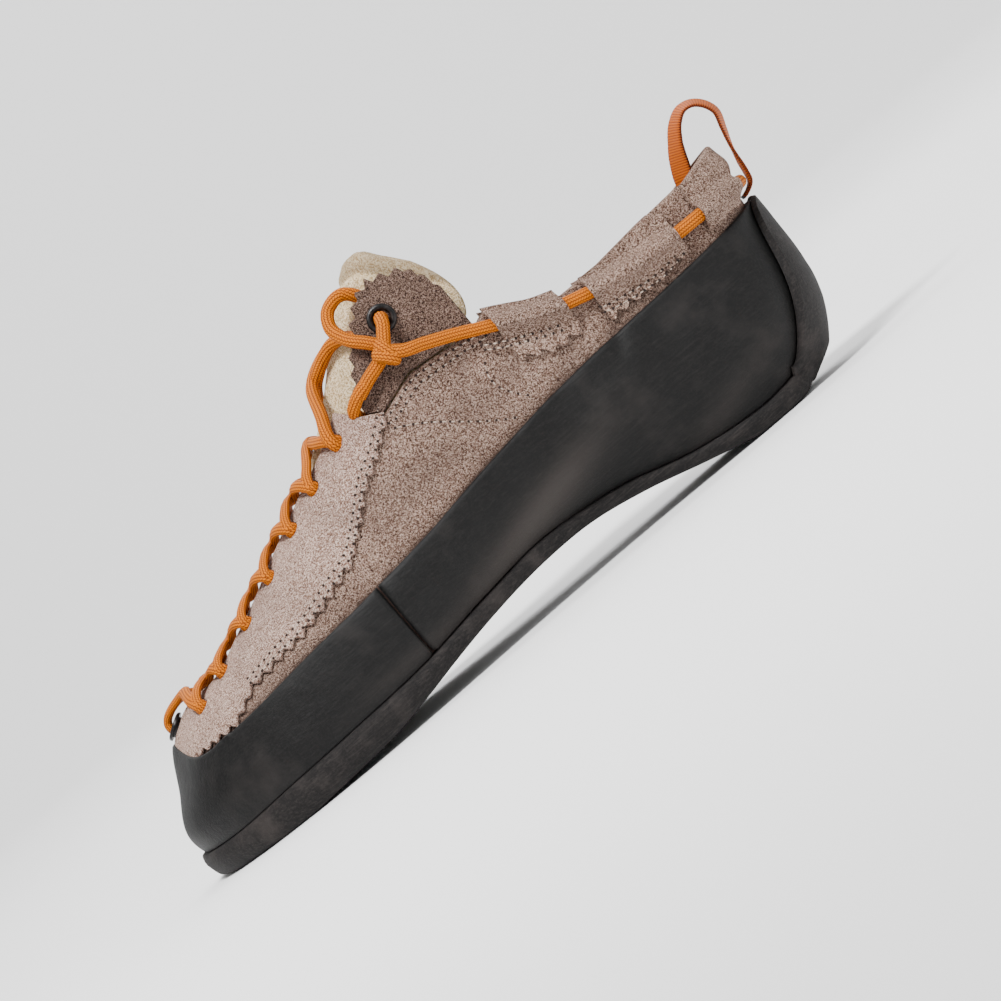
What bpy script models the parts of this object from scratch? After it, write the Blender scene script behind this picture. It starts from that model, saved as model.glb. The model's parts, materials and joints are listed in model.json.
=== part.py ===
"""A laced climbing shoe for the left foot: toe at -X, little-toe side at -Y, heel rest at the origin."""
from collections import namedtuple

import bmesh
import bpy
import numpy as np

# Overall sizes, in metres
LENGTH = 0.260
WIDTH = 0.094
HEIGHT = 0.120

# Sheet thicknesses and clearances
WALL = 0.0020
RAND = 0.0020
OVERLAY = 0.0013
FLAP = 0.0016
TUNNEL = 0.0013
INSOLE = 0.0015
TONGUE = 0.0022
HEEL_STRIP = 0.0034
GAP = 0.0003

# The sole's edge
SOLE_LIP = 0.0008
EDGE_ROUND = 0.0016
FLAT_INSET = 0.0042

# Lace, eyelets and loop
LACE = 0.0042
HOLE = 0.0052
EYELET_BORE = 0.0052
EYELET_OUTER = 0.0092
EYELET_BARREL = 0.0066
HOLE_INSET = 0.0068
LOOP_WIDTH = 0.0100
LOOP_THICK = 0.0011
EYELET_THICK = 0.0009

# How far the lace stands off what it passes, and how finely it is built
LACE_LIFT = 0.0008
RIDGE_LIFT = 0.0006
PRESSED = 0.62
THROAT_DIP = 0.0008
CROSS_LIFT = 0.0005
PLUG_SLACK = 0.0002
TUNNEL_SLACK = 0.0002
PUNCH_REACH = 0.006
FRAME_SCALE = 0.001
LACE_STEPS = 2
LACE_SIDES = 5
CORD_STEP = 2.6
CORD_TURN = 0.20

# Steps of the common grid that all layers share, so that they stay parallel
STEPS_ROUND = (4, 3, 2, 2, 2, 2, 2, 2, 2, 3, 3, 3)
STEPS_UP = (2, 2, 2, 2)

# Sections from toe to heel. x, lean: shares of LENGTH. mid, half: shares of WIDTH.
# tuck, shoulder, cuff, top: half widths as shares of half. toe, heel: how far the section
# bends round the end. z columns: heights as shares of HEIGHT; rand is the rubber's top edge.
Section = namedtuple(
    "Section",
    "x mid half tuck shoulder cuff top toe heel z_feather z_belly z_shoulder z_cuff z_top z_rand",
)
SECTIONS = (
    Section(-0.815, 0.106, 0.234, 1.00, 0.86, 0.50, 0.11, 0.80, 0, 0.080, 0.133, 0.233, 0.329, 0.383, 0.317),
    Section(-0.773, 0.069, 0.351, 1.00, 0.87, 0.53, 0.12, 0.47, 0, 0.082, 0.150, 0.258, 0.342, 0.388, 0.288),
    Section(-0.700, 0.027, 0.436, 1.00, 0.87, 0.56, 0.14, 0.04, 0, 0.093, 0.167, 0.279, 0.358, 0.398, 0.290),
    Section(-0.600, 0.000, 0.473, 0.98, 0.87, 0.58, 0.19, 0, 0, 0.103, 0.183, 0.325, 0.429, 0.491, 0.312),
    Section(-0.500, -0.027, 0.447, 0.90, 0.88, 0.60, 0.24, 0, 0, 0.113, 0.208, 0.383, 0.521, 0.600, 0.330),
    Section(-0.400, -0.043, 0.388, 0.78, 0.88, 0.64, 0.33, 0, 0, 0.140, 0.242, 0.450, 0.617, 0.708, 0.353),
    Section(-0.300, -0.037, 0.340, 0.68, 0.91, 0.80, 0.62, 0, 0, 0.158, 0.267, 0.500, 0.700, 0.950, 0.387),
    Section(-0.200, -0.016, 0.319, 0.66, 0.94, 0.88, 0.74, 0, 0, 0.133, 0.275, 0.475, 0.633, 0.867, 0.414),
    Section(-0.100, 0.000, 0.319, 0.68, 0.95, 0.87, 0.80, 0, 0, 0.078, 0.258, 0.417, 0.533, 0.667, 0.429),
    Section(-0.015, 0.000, 0.309, 0.70, 0.94, 0.86, 0.80, 0, 0.12, 0.057, 0.242, 0.408, 0.525, 0.650, 0.438),
    Section(0.038, 0.000, 0.250, 0.66, 0.95, 0.90, 0.88, 0, 0.72, 0.068, 0.225, 0.412, 0.533, 0.650, 0.452),
)

# The two ends, one row for each level: x as a share of LENGTH, z as a share of HEIGHT
End = namedtuple("End", "level x z")
TOE_END = (
    End("feather", -0.836, 0.080),
    End("belly", -0.841, 0.120),
    End("shoulder", -0.815, 0.235),
    End("cuff", -0.783, 0.343),
    End("top", -0.743, 0.388),
)
TOE_MID = 0.125
TOE_RAND = 0.345
HEEL_END = (
    End("feather", 0.060, 0.075),
    End("belly", 0.111, 0.217),
    End("shoulder", 0.126, 0.417),
    End("cuff", 0.131, 0.542),
    End("top", 0.142, 0.680),
)
HEEL_RAND = 0.467

# Lines seen from the side: x as a share of LENGTH, z as a share of HEIGHT
Point = namedtuple("Point", "x z")
SOLE_BOTTOM = (
    Point(-0.860, 0.030), Point(-0.848, 0.014), Point(-0.825, 0.003), Point(-0.790, 0), Point(-0.700, 0),
    Point(-0.670, 0.006), Point(-0.620, 0.014), Point(-0.570, 0.023), Point(-0.523, 0.041),
    Point(-0.464, 0.067), Point(-0.404, 0.089), Point(-0.322, 0.107), Point(-0.249, 0.106),
    Point(-0.181, 0.081), Point(-0.102, 0.037), Point(-0.051, 0.010), Point(-0.030, 0), Point(0.020, 0),
    Point(0.043, 0.006), Point(0.058, 0.012), Point(0.071, 0.022), Point(0.100, 0.062),
)
COLLAR_EDGE = (
    Point(-0.400, 0.740), Point(-0.375, 0.675), Point(-0.350, 0.645), Point(-0.300, 0.680),
    Point(-0.255, 0.670), Point(-0.212, 0.660), Point(-0.192, 0.683), Point(-0.150, 0.633),
    Point(-0.110, 0.590), Point(-0.045, 0.588), Point(0.023, 0.603), Point(0.081, 0.610),
    Point(0.115, 0.628), Point(0.150, 0.645),
)

EYESTAY_EDGE = (
    Point(-0.707, 0.276), Point(-0.662, 0.326), Point(-0.623, 0.337), Point(-0.581, 0.345),
    Point(-0.533, 0.372), Point(-0.486, 0.403), Point(-0.449, 0.469), Point(-0.422, 0.519),
    Point(-0.392, 0.556), Point(-0.352, 0.622),
)
EYESTAY_BACK = -0.352
RAND_SEAM = -0.482
FLAP_EDGE = (
    Point(-0.369, 0.720), Point(-0.337, 0.828), Point(-0.317, 0.875), Point(-0.296, 0.918),
    Point(-0.269, 0.936), Point(-0.229, 0.902), Point(-0.215, 0.860), Point(-0.208, 0.800),
)
LACE_LINE = (
    Point(-0.202, 0.646), Point(-0.173, 0.615), Point(-0.146, 0.585), Point(-0.100, 0.554),
    Point(-0.058, 0.533), Point(-0.015, 0.520), Point(0.050, 0.518), Point(0.120, 0.520),
)
TUNNEL_EDGE = (
    Point(-0.223, 0.581), Point(-0.192, 0.524), Point(-0.151, 0.483), Point(-0.108, 0.483),
    Point(-0.100, 0.476), Point(-0.090, 0.455), Point(-0.010, 0.450), Point(0.070, 0.470),
    Point(0.125, 0.482),
)

# Leather tunnels over the lace, from the ankle back to the heel: first and last x
Tunnel = namedtuple("Tunnel", "start end")
TUNNELS = (Tunnel(-0.192, -0.115), Tunnel(-0.083, 0.036), Tunnel(0.070, 0.118))
TUNNEL_STEPS = 4

# The tunnel's section: places across the lace and the height of its inside, in lace radii
TunnelRow = namedtuple("TunnelRow", "across rise")
TUNNEL_ROWS = (
    TunnelRow(-2.5, 0), TunnelRow(-1.43, 1.05), TunnelRow(-0.76, 2.1), TunnelRow(0, 2.4),
    TunnelRow(0.76, 2.1), TunnelRow(1.43, 1.05), TunnelRow(2.5, 0),
)

# Lace holes from ankle to toe: x as a share of LENGTH, distance from the throat edge in HOLE_INSET
Hole = namedtuple("Hole", "x inset")
LACE_HOLES = (
    Hole(-0.412, 1), Hole(-0.467, 1), Hole(-0.516, 1), Hole(-0.571, 1), Hole(-0.626, 1),
    Hole(-0.684, 1.1), Hole(-0.725, 1.8),
)
TOE_EYELET_LEVEL = 3.25
FLAP_EYELET = Point(-0.284, 0.827)
FLAP_TUCK = Point(-0.326, 0.838)

# The lace's free run on one side of the ankle, from the slot to the tunnels: x as a share of LENGTH,
# z as a share of HEIGHT, out as lace radii from the leather
LaceStop = namedtuple("LaceStop", "x z out")
ANKLE_RUN = (
    LaceStop(-0.356, 0.706, 1.5), LaceStop(-0.335, 0.728, 1.5), LaceStop(-0.312, 0.748, 1.5),
    LaceStop(-0.302, 0.765, 1.5), LaceStop(-0.309, 0.790, 1.5), LaceStop(-0.325, 0.836, 1.6),
    LaceStop(-0.331, 0.885, 1.2), LaceStop(-0.325, 0.930, 0), LaceStop(-0.305, 0.945, -1.5),
    LaceStop(-0.290, 0.918, -2.3), LaceStop(-0.284, 0.875, -2.6), LaceStop(-0.284, 0.838, -2.5),
    LaceStop(-0.284, 0.827, -1.0), LaceStop(-0.284, 0.827, 0.9), LaceStop(-0.285, 0.822, 2.2),
    LaceStop(-0.287, 0.806, 3.0), LaceStop(-0.293, 0.785, 3.4),
    LaceStop(-0.301, 0.750, 3.7), LaceStop(-0.292, 0.728, 3.6), LaceStop(-0.265, 0.706, 2.4),
    LaceStop(-0.235, 0.680, 1.6), LaceStop(-0.202, 0.646, 1.3), LaceStop(-0.173, 0.615, 1.24),
    LaceStop(-0.146, 0.585, 1.24), LaceStop(-0.100, 0.554, 1.24), LaceStop(-0.058, 0.533, 1.24),
    LaceStop(-0.015, 0.520, 1.24), LaceStop(0.030, 0.518, 1.26), LaceStop(0.055, 0.518, 1.26),
    LaceStop(0.080, 0.519, 1.26), LaceStop(0.105, 0.520, 1.31), LaceStop(0.124, 0.520, 1.33),
)

# The pull loop's middle line, from inside the heel over the top to the outside
LOOP_LINE = (
    Point(0.1128, 0.400), Point(0.1133, 0.440), Point(0.107, 0.495), Point(0.094, 0.555),
    Point(0.0912, 0.593), Point(0.100, 0.650), Point(0.112, 0.698), Point(0.1265, 0.736),
    Point(0.1415, 0.754), Point(0.1545, 0.750), Point(0.164, 0.734), Point(0.172, 0.697),
    Point(0.1665, 0.650), Point(0.1608, 0.610), Point(0.1560, 0.560), Point(0.1540, 0.530),
    Point(0.1505, 0.502), Point(0.1400, 0.486), Point(0.1320, 0.481),
)
LOOP_TWIST = 0.55

# Tongue rows, toe to tip. x_side, v_side: where it meets the throat edge. x_wing, v_wing: its edge
# inside the shoe. x_ridge, z_ridge: its middle. room: how much it gives way to the lace beside it.
TongueRow = namedtuple("TongueRow", "x_side v_side x_wing v_wing x_ridge z_ridge room")
TONGUE_ROWS = (
    TongueRow(-0.732, 3.9, -0.728, 3.4, -0.737, 0.349, 0),
    TongueRow(-0.694, 4.0, -0.690, 3.4, -0.700, 0.378, 0),
    TongueRow(-0.646, 4.0, -0.644, 3.3, -0.650, 0.426, 0),
    TongueRow(-0.577, 4.0, -0.573, 3.3, -0.585, 0.499, 0),
    TongueRow(-0.500, 4.0, -0.496, 3.2, -0.512, 0.587, 0),
    TongueRow(-0.431, 4.0, -0.423, 3.1, -0.450, 0.676, 0),
    TongueRow(-0.377, 3.8, -0.354, 2.9, -0.400, 0.762, 0.6),
    TongueRow(-0.335, 3.8, -0.277, 2.8, -0.362, 0.840, 1),
    TongueRow(-0.288, 3.9, -0.200, 3.4, -0.321, 0.928, 1),
    TongueRow(-0.252, 4.3, -0.214, 4.12, -0.277, 1.002, 1),
)
TONGUE_CLEAR = 0.0010
TONGUE_ROOM = 0.0055

# The heel strip's top edge: u in stations from the middle of the heel, z as a share of HEIGHT
StripEdge = namedtuple("StripEdge", "u z")
STRIP_EDGE = (
    StripEdge(0, 0.470), StripEdge(0.25, 0.466), StripEdge(0.50, 0.437), StripEdge(0.625, 0.385),
    StripEdge(0.75, 0.280), StripEdge(0.875, 0.163), StripEdge(1.00, 0.110),
)

TOE_AT = len(SECTIONS) + 1
AROUND = 2 * TOE_AT


def blank_scene():
    for thing in list(bpy.data.objects):
        bpy.data.objects.remove(thing, do_unlink=True)


def material(name, color, roughness, metallic=0.0):
    made = bpy.data.materials.new(name)
    made.use_nodes = True
    shader = made.node_tree.nodes["Principled BSDF"]
    shader.inputs["Base Color"].default_value = (*color, 1)
    shader.inputs["Roughness"].default_value = roughness
    shader.inputs["Metallic"].default_value = metallic
    return made


# The form of the leather: levels up the wall at stations round the foot

def end_points(rows, mid):
    return [(row.x * LENGTH, mid * WIDTH, row.z * HEIGHT) for row in rows]


def side_points(row, side):
    """One section's five levels on one side: side is -1 for the little toe, 1 for the big toe."""
    spread = (row.tuck, 1, row.shoulder, row.cuff, row.top)
    heights = (row.z_feather, row.z_belly, row.z_shoulder, row.z_cuff, row.z_top)
    points = []
    for level in range(5):
        shift = row.toe * (TOE_END[level].x - TOE_END[0].x)
        shift += row.heel * (HEEL_END[level].x - HEEL_END[0].x)
        points.append((
            (row.x + shift) * LENGTH,
            (row.mid + side * row.half * spread[level]) * WIDTH,
            heights[level] * HEIGHT,
        ))
    return points


def station_points():
    """Stations in order: heel, little-toe side forwards, toe, big-toe side back."""
    lateral = [side_points(row, -1) for row in reversed(SECTIONS)]
    medial = [side_points(row, 1) for row in SECTIONS]
    return np.array(
        [end_points(HEEL_END, 0)] + lateral + [end_points(TOE_END, TOE_MID)] + medial
    )


def station_values(column, heel, toe):
    side = [getattr(row, column) for row in SECTIONS]
    return np.array([heel] + side[::-1] + [toe] + side) * HEIGHT


STATIONS = station_points()
RAND_LINE = station_values("z_rand", HEEL_RAND, TOE_RAND)
FEATHER_LINE = station_values("z_feather", HEEL_END[0].z, TOE_END[0].z)
ROUND_CHORD = np.linalg.norm(np.roll(STATIONS, -1, axis=0) - STATIONS, axis=2).mean(axis=1)


def hermite(a, b, slope_a, slope_b, chord, t):
    return (
        (2 * t**3 - 3 * t**2 + 1) * a
        + (t**3 - 2 * t**2 + t) * chord * slope_a
        + (-2 * t**3 + 3 * t**2) * b
        + (t**3 - t**2) * chord * slope_b
    )


def round_slope(values, i):
    """Slope at station i of a closed run of values, from its two neighbours."""
    back, ahead = ROUND_CHORD[i - 1], ROUND_CHORD[i]
    shape = (-1,) + (1,) * (values.ndim - 1)
    back, ahead = back.reshape(shape), ahead.reshape(shape)
    rise_back = (values[i] - values[i - 1]) / back
    rise_ahead = (values[(i + 1) % AROUND] - values[i]) / ahead
    return (rise_back * ahead + rise_ahead * back) / (back + ahead)


def round_values(values, u):
    """A closed smooth run through the stations' values, read at u in stations from the heel."""
    u = np.mod(u, AROUND)
    i = np.floor(u).astype(int) % AROUND
    j = (i + 1) % AROUND
    shape = (-1,) + (1,) * (values.ndim - 1)
    t = (u - np.floor(u)).reshape(shape)
    chord = ROUND_CHORD[i].reshape(shape)
    return hermite(values[i], values[j], round_slope(values, i), round_slope(values, j), chord, t)


def form(u, v):
    """Outside of the leather: u in stations round from the heel, v in levels up from the feather."""
    u, v = np.broadcast_arrays(np.asarray(u, float), np.asarray(v, float))
    u, v = u.ravel(), v.ravel()
    levels = round_values(STATIONS, u)
    chord = np.linalg.norm(np.diff(levels, axis=1), axis=2)
    rise = np.diff(levels, axis=1) / chord[:, :, None]
    slope = np.empty_like(levels)
    low, high = chord[:, :-1, None], chord[:, 1:, None]
    slope[:, 1:-1] = (rise[:, :-1] * high + rise[:, 1:] * low) / (low + high)
    slope[:, 0] = 2 * rise[:, 0] - slope[:, 1]
    slope[:, -1] = 2 * rise[:, -1] - slope[:, -2]
    i = np.clip(np.floor(v).astype(int), 0, 3)
    n = np.arange(len(u))
    t = (v - i)[:, None]
    reach = chord[n, i][:, None]
    inside = hermite(levels[n, i], levels[n, i + 1], slope[n, i], slope[n, i + 1], reach, np.clip(t, 0, 1))
    past = np.where(t < 0, t * reach * slope[n, i], 0) + np.where(t > 1, (t - 1) * reach * slope[n, i + 1], 0)
    return inside + past


def outward(u, v):
    step = 0.01
    across = form(u + step, v) - form(u - step, v)
    up = form(u, v + step) - form(u, v - step)
    normal = np.cross(up, across)
    return normal / np.linalg.norm(normal, axis=1)[:, None]


def layer(u, v, depth):
    """The form moved outwards by depth."""
    u, v = np.broadcast_arrays(np.asarray(u, float), np.asarray(v, float))
    u, v = u.ravel(), v.ravel()
    return form(u, v) + outward(u, v) * np.broadcast_to(depth, u.shape)[:, None]


def level_at(u, heights, depth=0.0, low=-0.3, high=4.0):
    """The level where a layer reaches a height, which may depend on x."""
    u = np.atleast_1d(np.asarray(u, float))
    low = np.full(u.shape, low)
    high = np.full(u.shape, high)
    for _ in range(30):
        middle = (low + high) / 2
        points = layer(u, middle, depth)
        wanted = heights(points[:, 0]) if callable(heights) else heights
        under = points[:, 2] < wanted
        low = np.where(under, middle, low)
        high = np.where(under, high, middle)
    return (low + high) / 2


def line(points):
    """A side-view line as a function of x, straight between its points."""
    xs = np.array([p.x for p in points]) * LENGTH
    zs = np.array([p.z for p in points]) * HEIGHT
    return lambda x: np.interp(x, xs, zs)


def station_at(x, side):
    """The place round the foot where the middle of the wall has this x."""
    fore, aft = (TOE_AT, 0.0) if side < 0 else (TOE_AT, float(AROUND))
    for _ in range(30):
        middle = (fore + aft) / 2
        if form(middle, 2.0)[0, 0] < x:
            fore = middle
        else:
            aft = middle
    return (fore + aft) / 2


ROUND_GRID = np.concatenate([
    station + np.arange(steps) / steps
    for station, steps in enumerate(STEPS_ROUND + STEPS_ROUND[::-1])
])
NEAR_COLUMN = 0.06
UP_GRID = np.concatenate(
    [level + np.arange(steps) / steps for level, steps in enumerate(STEPS_UP)] + [[4.0, 4.5]]
)


def columns(start, end):
    """Grid columns from start to end, which may pass the heel, with both ends added."""
    grid = np.concatenate([ROUND_GRID - AROUND, ROUND_GRID])
    grid = grid[(grid > start + NEAR_COLUMN) & (grid < end - NEAR_COLUMN)]
    return np.concatenate([[start], grid, [end]])


# Meshes

def new_object(name, vertices, faces, finish, smooth=35):
    mesh = bpy.data.meshes.new(name)
    mesh.from_pydata([tuple(v) for v in vertices], [], faces)
    work = bmesh.new()
    work.from_mesh(mesh)
    bmesh.ops.remove_doubles(work, verts=work.verts, dist=0.000002)
    bmesh.ops.recalc_face_normals(work, faces=work.faces)
    work.to_mesh(mesh)
    work.free()
    mesh.shade_smooth()
    mesh.set_sharp_from_angle(angle=np.radians(smooth))
    mesh.materials.append(finish)
    made = bpy.data.objects.new(name, mesh)
    bpy.context.scene.collection.objects.link(made)
    return made


def clipped(low, high, snap=0.06):
    """Grid rows of each column between its own low and high, near rows drawn onto the ends."""
    rows = np.clip(UP_GRID[None, :], low[:, None], high[:, None])
    rows = np.where(np.abs(rows - low[:, None]) < snap, low[:, None], rows)
    return np.where(np.abs(rows - high[:, None]) < snap, high[:, None], rows)


def shell(name, u, rows, inner, outer, finish, closed=False):
    """A solid sheet over the grid of columns u and rows, between two depths."""
    count, tall = rows.shape
    grid_u = np.repeat(u, tall)
    grid_v = rows.ravel()
    deep = np.broadcast_to(inner, rows.shape).ravel()
    proud = np.broadcast_to(outer, rows.shape).ravel()
    vertices = np.concatenate([layer(grid_u, grid_v, proud), layer(grid_u, grid_v, deep)])
    first = {}
    for k in range(count * tall):
        i, j = divmod(k, tall)
        first[k] = first[k - 1] if j and rows[i, j] == rows[i, j - 1] else k
    under = count * tall
    faces = []

    def add(*corners):
        loop = []
        for corner in corners:
            k = first[corner % under] + (under if corner >= under else 0)
            if k not in loop:
                loop.append(k)
        if len(loop) > 2:
            faces.append(loop)

    spans = count if closed else count - 1
    for i in range(spans):
        a, b = i * tall, (i + 1) % count * tall
        for j in range(tall - 1):
            add(a + j, b + j, b + j + 1)
            add(a + j, b + j + 1, a + j + 1)
            add(under + a + j, under + b + j + 1, under + b + j)
            add(under + a + j, under + a + j + 1, under + b + j + 1)
        add(a, under + a, under + b, b)
        top = tall - 1
        add(a + top, b + top, under + b + top, under + a + top)
    if not closed:
        for a in (0, (count - 1) * tall):
            for j in range(tall - 1):
                add(a + j, a + j + 1, under + a + j + 1, under + a + j)
    return new_object(name, vertices, faces, finish)


def rings_to_solid(name, rings, finish):
    """A solid from closed rings of equal count, its first and last ring closed straight across."""
    count = len(rings[0])
    faces = []
    for r in range(len(rings) - 1):
        for i in range(count):
            k = (i + 1) % count
            faces.append([r * count + i, r * count + k, (r + 1) * count + k, (r + 1) * count + i])
    for r in (0, len(rings) - 1):
        for i in range(count // 2):
            a, b = i, i + 1
            c, d = (count - i - 1) % count, (count - i) % count
            loop = []
            for k in (a, b, c, d):
                if r * count + k not in loop:
                    loop.append(r * count + k)
            if len(loop) > 2:
                faces.append(loop)
    return new_object(name, np.concatenate(rings), faces, finish)


def boolean(target, tool, operation):
    step = target.modifiers.new(tool.name, "BOOLEAN")
    step.operation = operation
    step.object = tool
    step.solver = "EXACT"
    tool.hide_render = True
    tool.display_type = "WIRE"


def feather(u):
    return round_values(FEATHER_LINE, np.atleast_1d(u))


# Pieces

def outsole(finish):
    """The slab under the foot, and the strip that runs on from it up the back of the heel."""
    u = ROUND_GRID
    low = level_at(u, feather(u), GAP + RAND)
    edge = layer(u, low, GAP + RAND)
    ahead = np.roll(edge, -1, axis=0) - np.roll(edge, 1, axis=0)
    plan = np.stack([-ahead[:, 1], ahead[:, 0], np.zeros(len(u))], axis=1)
    plan /= np.linalg.norm(plan, axis=1)[:, None]
    centre = edge.mean(axis=0)
    plan *= np.sign(((edge - centre) * plan).sum(axis=1).sum())
    bottom = line(SOLE_BOTTOM)

    wrap = np.clip(1.5 - np.minimum(u, AROUND - u), 0, 1)
    wrap = wrap * wrap * (3 - 2 * wrap) * HEEL_STRIP

    def ring(out, height):
        points = edge + plan * (out + wrap * min(1, height + 0.4))[:, None]
        floor = bottom(points[:, 0])
        top = feather(u) - GAP
        points[:, 2] = floor + (top - floor) * height if height else floor
        return points

    rings = [
        ring(SOLE_LIP, 1.0),
        ring(SOLE_LIP + 0.0005, 0.55),
        ring(SOLE_LIP - 0.0005, 0.2),
        ring(SOLE_LIP - EDGE_ROUND, 0.06),
        ring(SOLE_LIP - FLAT_INSET, 0),
    ]
    slab = rings_to_solid("outsole", rings, finish)

    half = np.array([row.u for row in STRIP_EDGE])
    around = np.concatenate([-half[::-1], half[1:]])
    tops = np.array([row.z for row in STRIP_EDGE]) * HEIGHT
    tops = np.concatenate([tops[::-1], tops[1:]])
    floor = np.full(around.shape, -0.5)
    high = level_at(around, tops, GAP * 2 + RAND + HEEL_STRIP)
    rows = clipped(floor, high)
    taper = np.clip((rows - 1.2) / 1.3, 0, 1)
    proud = GAP * 2 + RAND + HEEL_STRIP * (1 - 0.55 * taper)
    deep = RAND + GAP * (2 + np.clip((np.abs(around) - 0.5) * 4, 0, 1.5))[:, None]
    strip = shell("heel_strip_form", around, rows, deep, proud, finish)
    boolean(slab, strip, "UNION")
    return slab


def upper(finish):
    u = ROUND_GRID
    low = np.zeros(len(u))
    edge = level_at(u, line(COLLAR_EDGE), 0.0, low=1.0)
    behind = form(u, 2.0)[:, 0] > COLLAR_EDGE[0].x * LENGTH
    high = np.where(behind, edge, 4.0)
    return shell("upper", u, clipped(low, high), -WALL, 0.0, finish, closed=True)


def rand(name, start, end, finish):
    u = columns(start, end)
    low = level_at(u, feather(u), GAP + RAND)
    high = level_at(u, round_values(RAND_LINE, u), GAP + RAND)
    return shell(name, u, clipped(low, high), GAP, GAP + RAND, finish)


def insole(finish):
    u = ROUND_GRID
    clear = -WALL - GAP * 2

    def ring(rise):
        height = feather(u) + rise
        points = layer(u, level_at(u, height, clear, low=-1.5), clear)
        points[:, 2] = height
        return points

    return rings_to_solid("insole", [ring(INSOLE), ring(0.0)], finish)


def place(x, z, side, depth=0.0):
    """Station and level on one side of the foot that are seen at x and z."""
    v = 2.5
    for _ in range(5):
        u = side_place(x, v, side)
        v = level_at(u, z, depth, low=0.0, high=5.5)[0]
    return u, v


def side_place(x, v, side):
    """The station where this level of the wall has this x."""
    fore, aft = (TOE_AT, 0.0) if side < 0 else (TOE_AT, float(AROUND))
    for _ in range(30):
        middle = (fore + aft) / 2
        if form(middle, v)[0, 0] < x:
            fore = middle
        else:
            aft = middle
    return (fore + aft) / 2


def smooth_rows(points, steps):
    """Points along a smooth run through a row of hand-placed points, ends kept."""
    points = np.array(points)
    chord = np.linalg.norm(np.diff(points, axis=0), axis=1)[:, None]
    rise = np.diff(points, axis=0) / chord
    slope = np.empty_like(points)
    slope[1:-1] = (rise[:-1] * chord[1:] + rise[1:] * chord[:-1]) / (chord[:-1] + chord[1:])
    slope[0] = 2 * rise[0] - slope[1]
    slope[-1] = 2 * rise[-1] - slope[-2]
    made = []
    for i in range(len(chord)):
        for t in np.arange(steps) / steps:
            made.append(hermite(points[i], points[i + 1], slope[i], slope[i + 1], chord[i], t))
    return np.array(made + [points[-1]])


def grid_solid(name, outer, thick, finish):
    """A solid sheet from a grid of points on its outer face, thickened inwards."""
    across = np.gradient(outer, axis=1)
    along = np.gradient(outer, axis=0)
    normal = np.cross(along, across)
    normal /= np.linalg.norm(normal, axis=2)[:, :, None]
    normal *= np.sign(normal[:, outer.shape[1] // 2, 2].sum())
    inner = outer - normal * thick
    rows, count = outer.shape[:2]
    under = rows * count
    faces = []
    for r in range(rows - 1):
        for c in range(count - 1):
            a = r * count + c
            b = a + count
            faces.append([a, a + 1, b + 1])
            faces.append([a, b + 1, b])
            faces.append([under + a, under + b + 1, under + a + 1])
            faces.append([under + a, under + b, under + b + 1])
    border = [c for c in range(count)]
    border += [r * count + count - 1 for r in range(1, rows)]
    border += [(rows - 1) * count + c for c in range(count - 2, -1, -1)]
    border += [r * count for r in range(rows - 2, 0, -1)]
    for a, b in zip(border, border[1:] + border[:1]):
        faces.append([a, b, under + b, under + a])
    return new_object(name, np.concatenate([outer.reshape(-1, 3), inner.reshape(-1, 3)]), faces, finish)


def tongue(finish):
    rows = []
    for row in TONGUE_ROWS:
        depth = -(WALL + TONGUE_CLEAR + TONGUE_ROOM * row.room)
        sides = {}
        for side in (-1, 1):
            places = []
            for share in (0, 0.5, 1):
                v = row.v_wing + (row.v_side - row.v_wing) * share
                x = (row.x_wing + (row.x_side - row.x_wing) * share) * LENGTH
                places.append(layer(side_place(x, v, side), v, depth)[0])
            sides[side] = places
        middle = (sides[-1][2] + sides[1][2]) / 2
        ridge = [row.x_ridge * LENGTH, middle[1], row.z_ridge * HEIGHT]
        rows.append(smooth_rows(sides[-1] + [ridge] + sides[1][::-1], 2))
    grid = np.stack([smooth_rows(line_along, 1) for line_along in np.array(rows).transpose(1, 0, 2)], axis=1)
    return grid_solid("tongue", grid, TONGUE, finish)


def collar_level(u):
    return level_at(u, line(COLLAR_EDGE), low=1.0)


def eyestay(finish):
    """The leather round the throat, from one ankle round the toe to the other."""
    back = side_place(EYESTAY_BACK * LENGTH, 3.5, -1)
    back = ROUND_GRID[np.abs(ROUND_GRID - back).argmin()]
    u = columns(back, AROUND - back)
    pinked = level_at(u, line(EYESTAY_EDGE))
    over_rand = level_at(u, round_values(RAND_LINE, u) + GAP * 3, GAP + RAND)
    behind = form(u, 3.5)[:, 0] > COLLAR_EDGE[0].x * LENGTH
    high = np.where(behind, collar_level(u), 4.0)
    rows = clipped(np.maximum(pinked, over_rand), high)
    return shell("eyestay", u, rows, GAP, GAP + OVERLAY, finish)


def flap(name, side, finish):
    """The eyestay's free top beside the tongue, from the quarter's edge up."""
    ends = [side_place(point.x * LENGTH, 3.3, side) for point in (FLAP_EDGE[0], FLAP_EDGE[-1])]
    coarse = columns(min(ends), max(ends))
    collar = line(COLLAR_EDGE)
    u = np.sort(np.concatenate([coarse, (coarse[1:] + coarse[:-1]) / 2]))
    low = np.interp(u, ROUND_GRID, level_at(ROUND_GRID, lambda x: collar(x) + GAP * 3))
    high = level_at(u, line(FLAP_EDGE), high=5.0)
    return shell(name, u, clipped(low, np.maximum(high, low + 0.1)), -FLAP, 0.0, finish)


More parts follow.
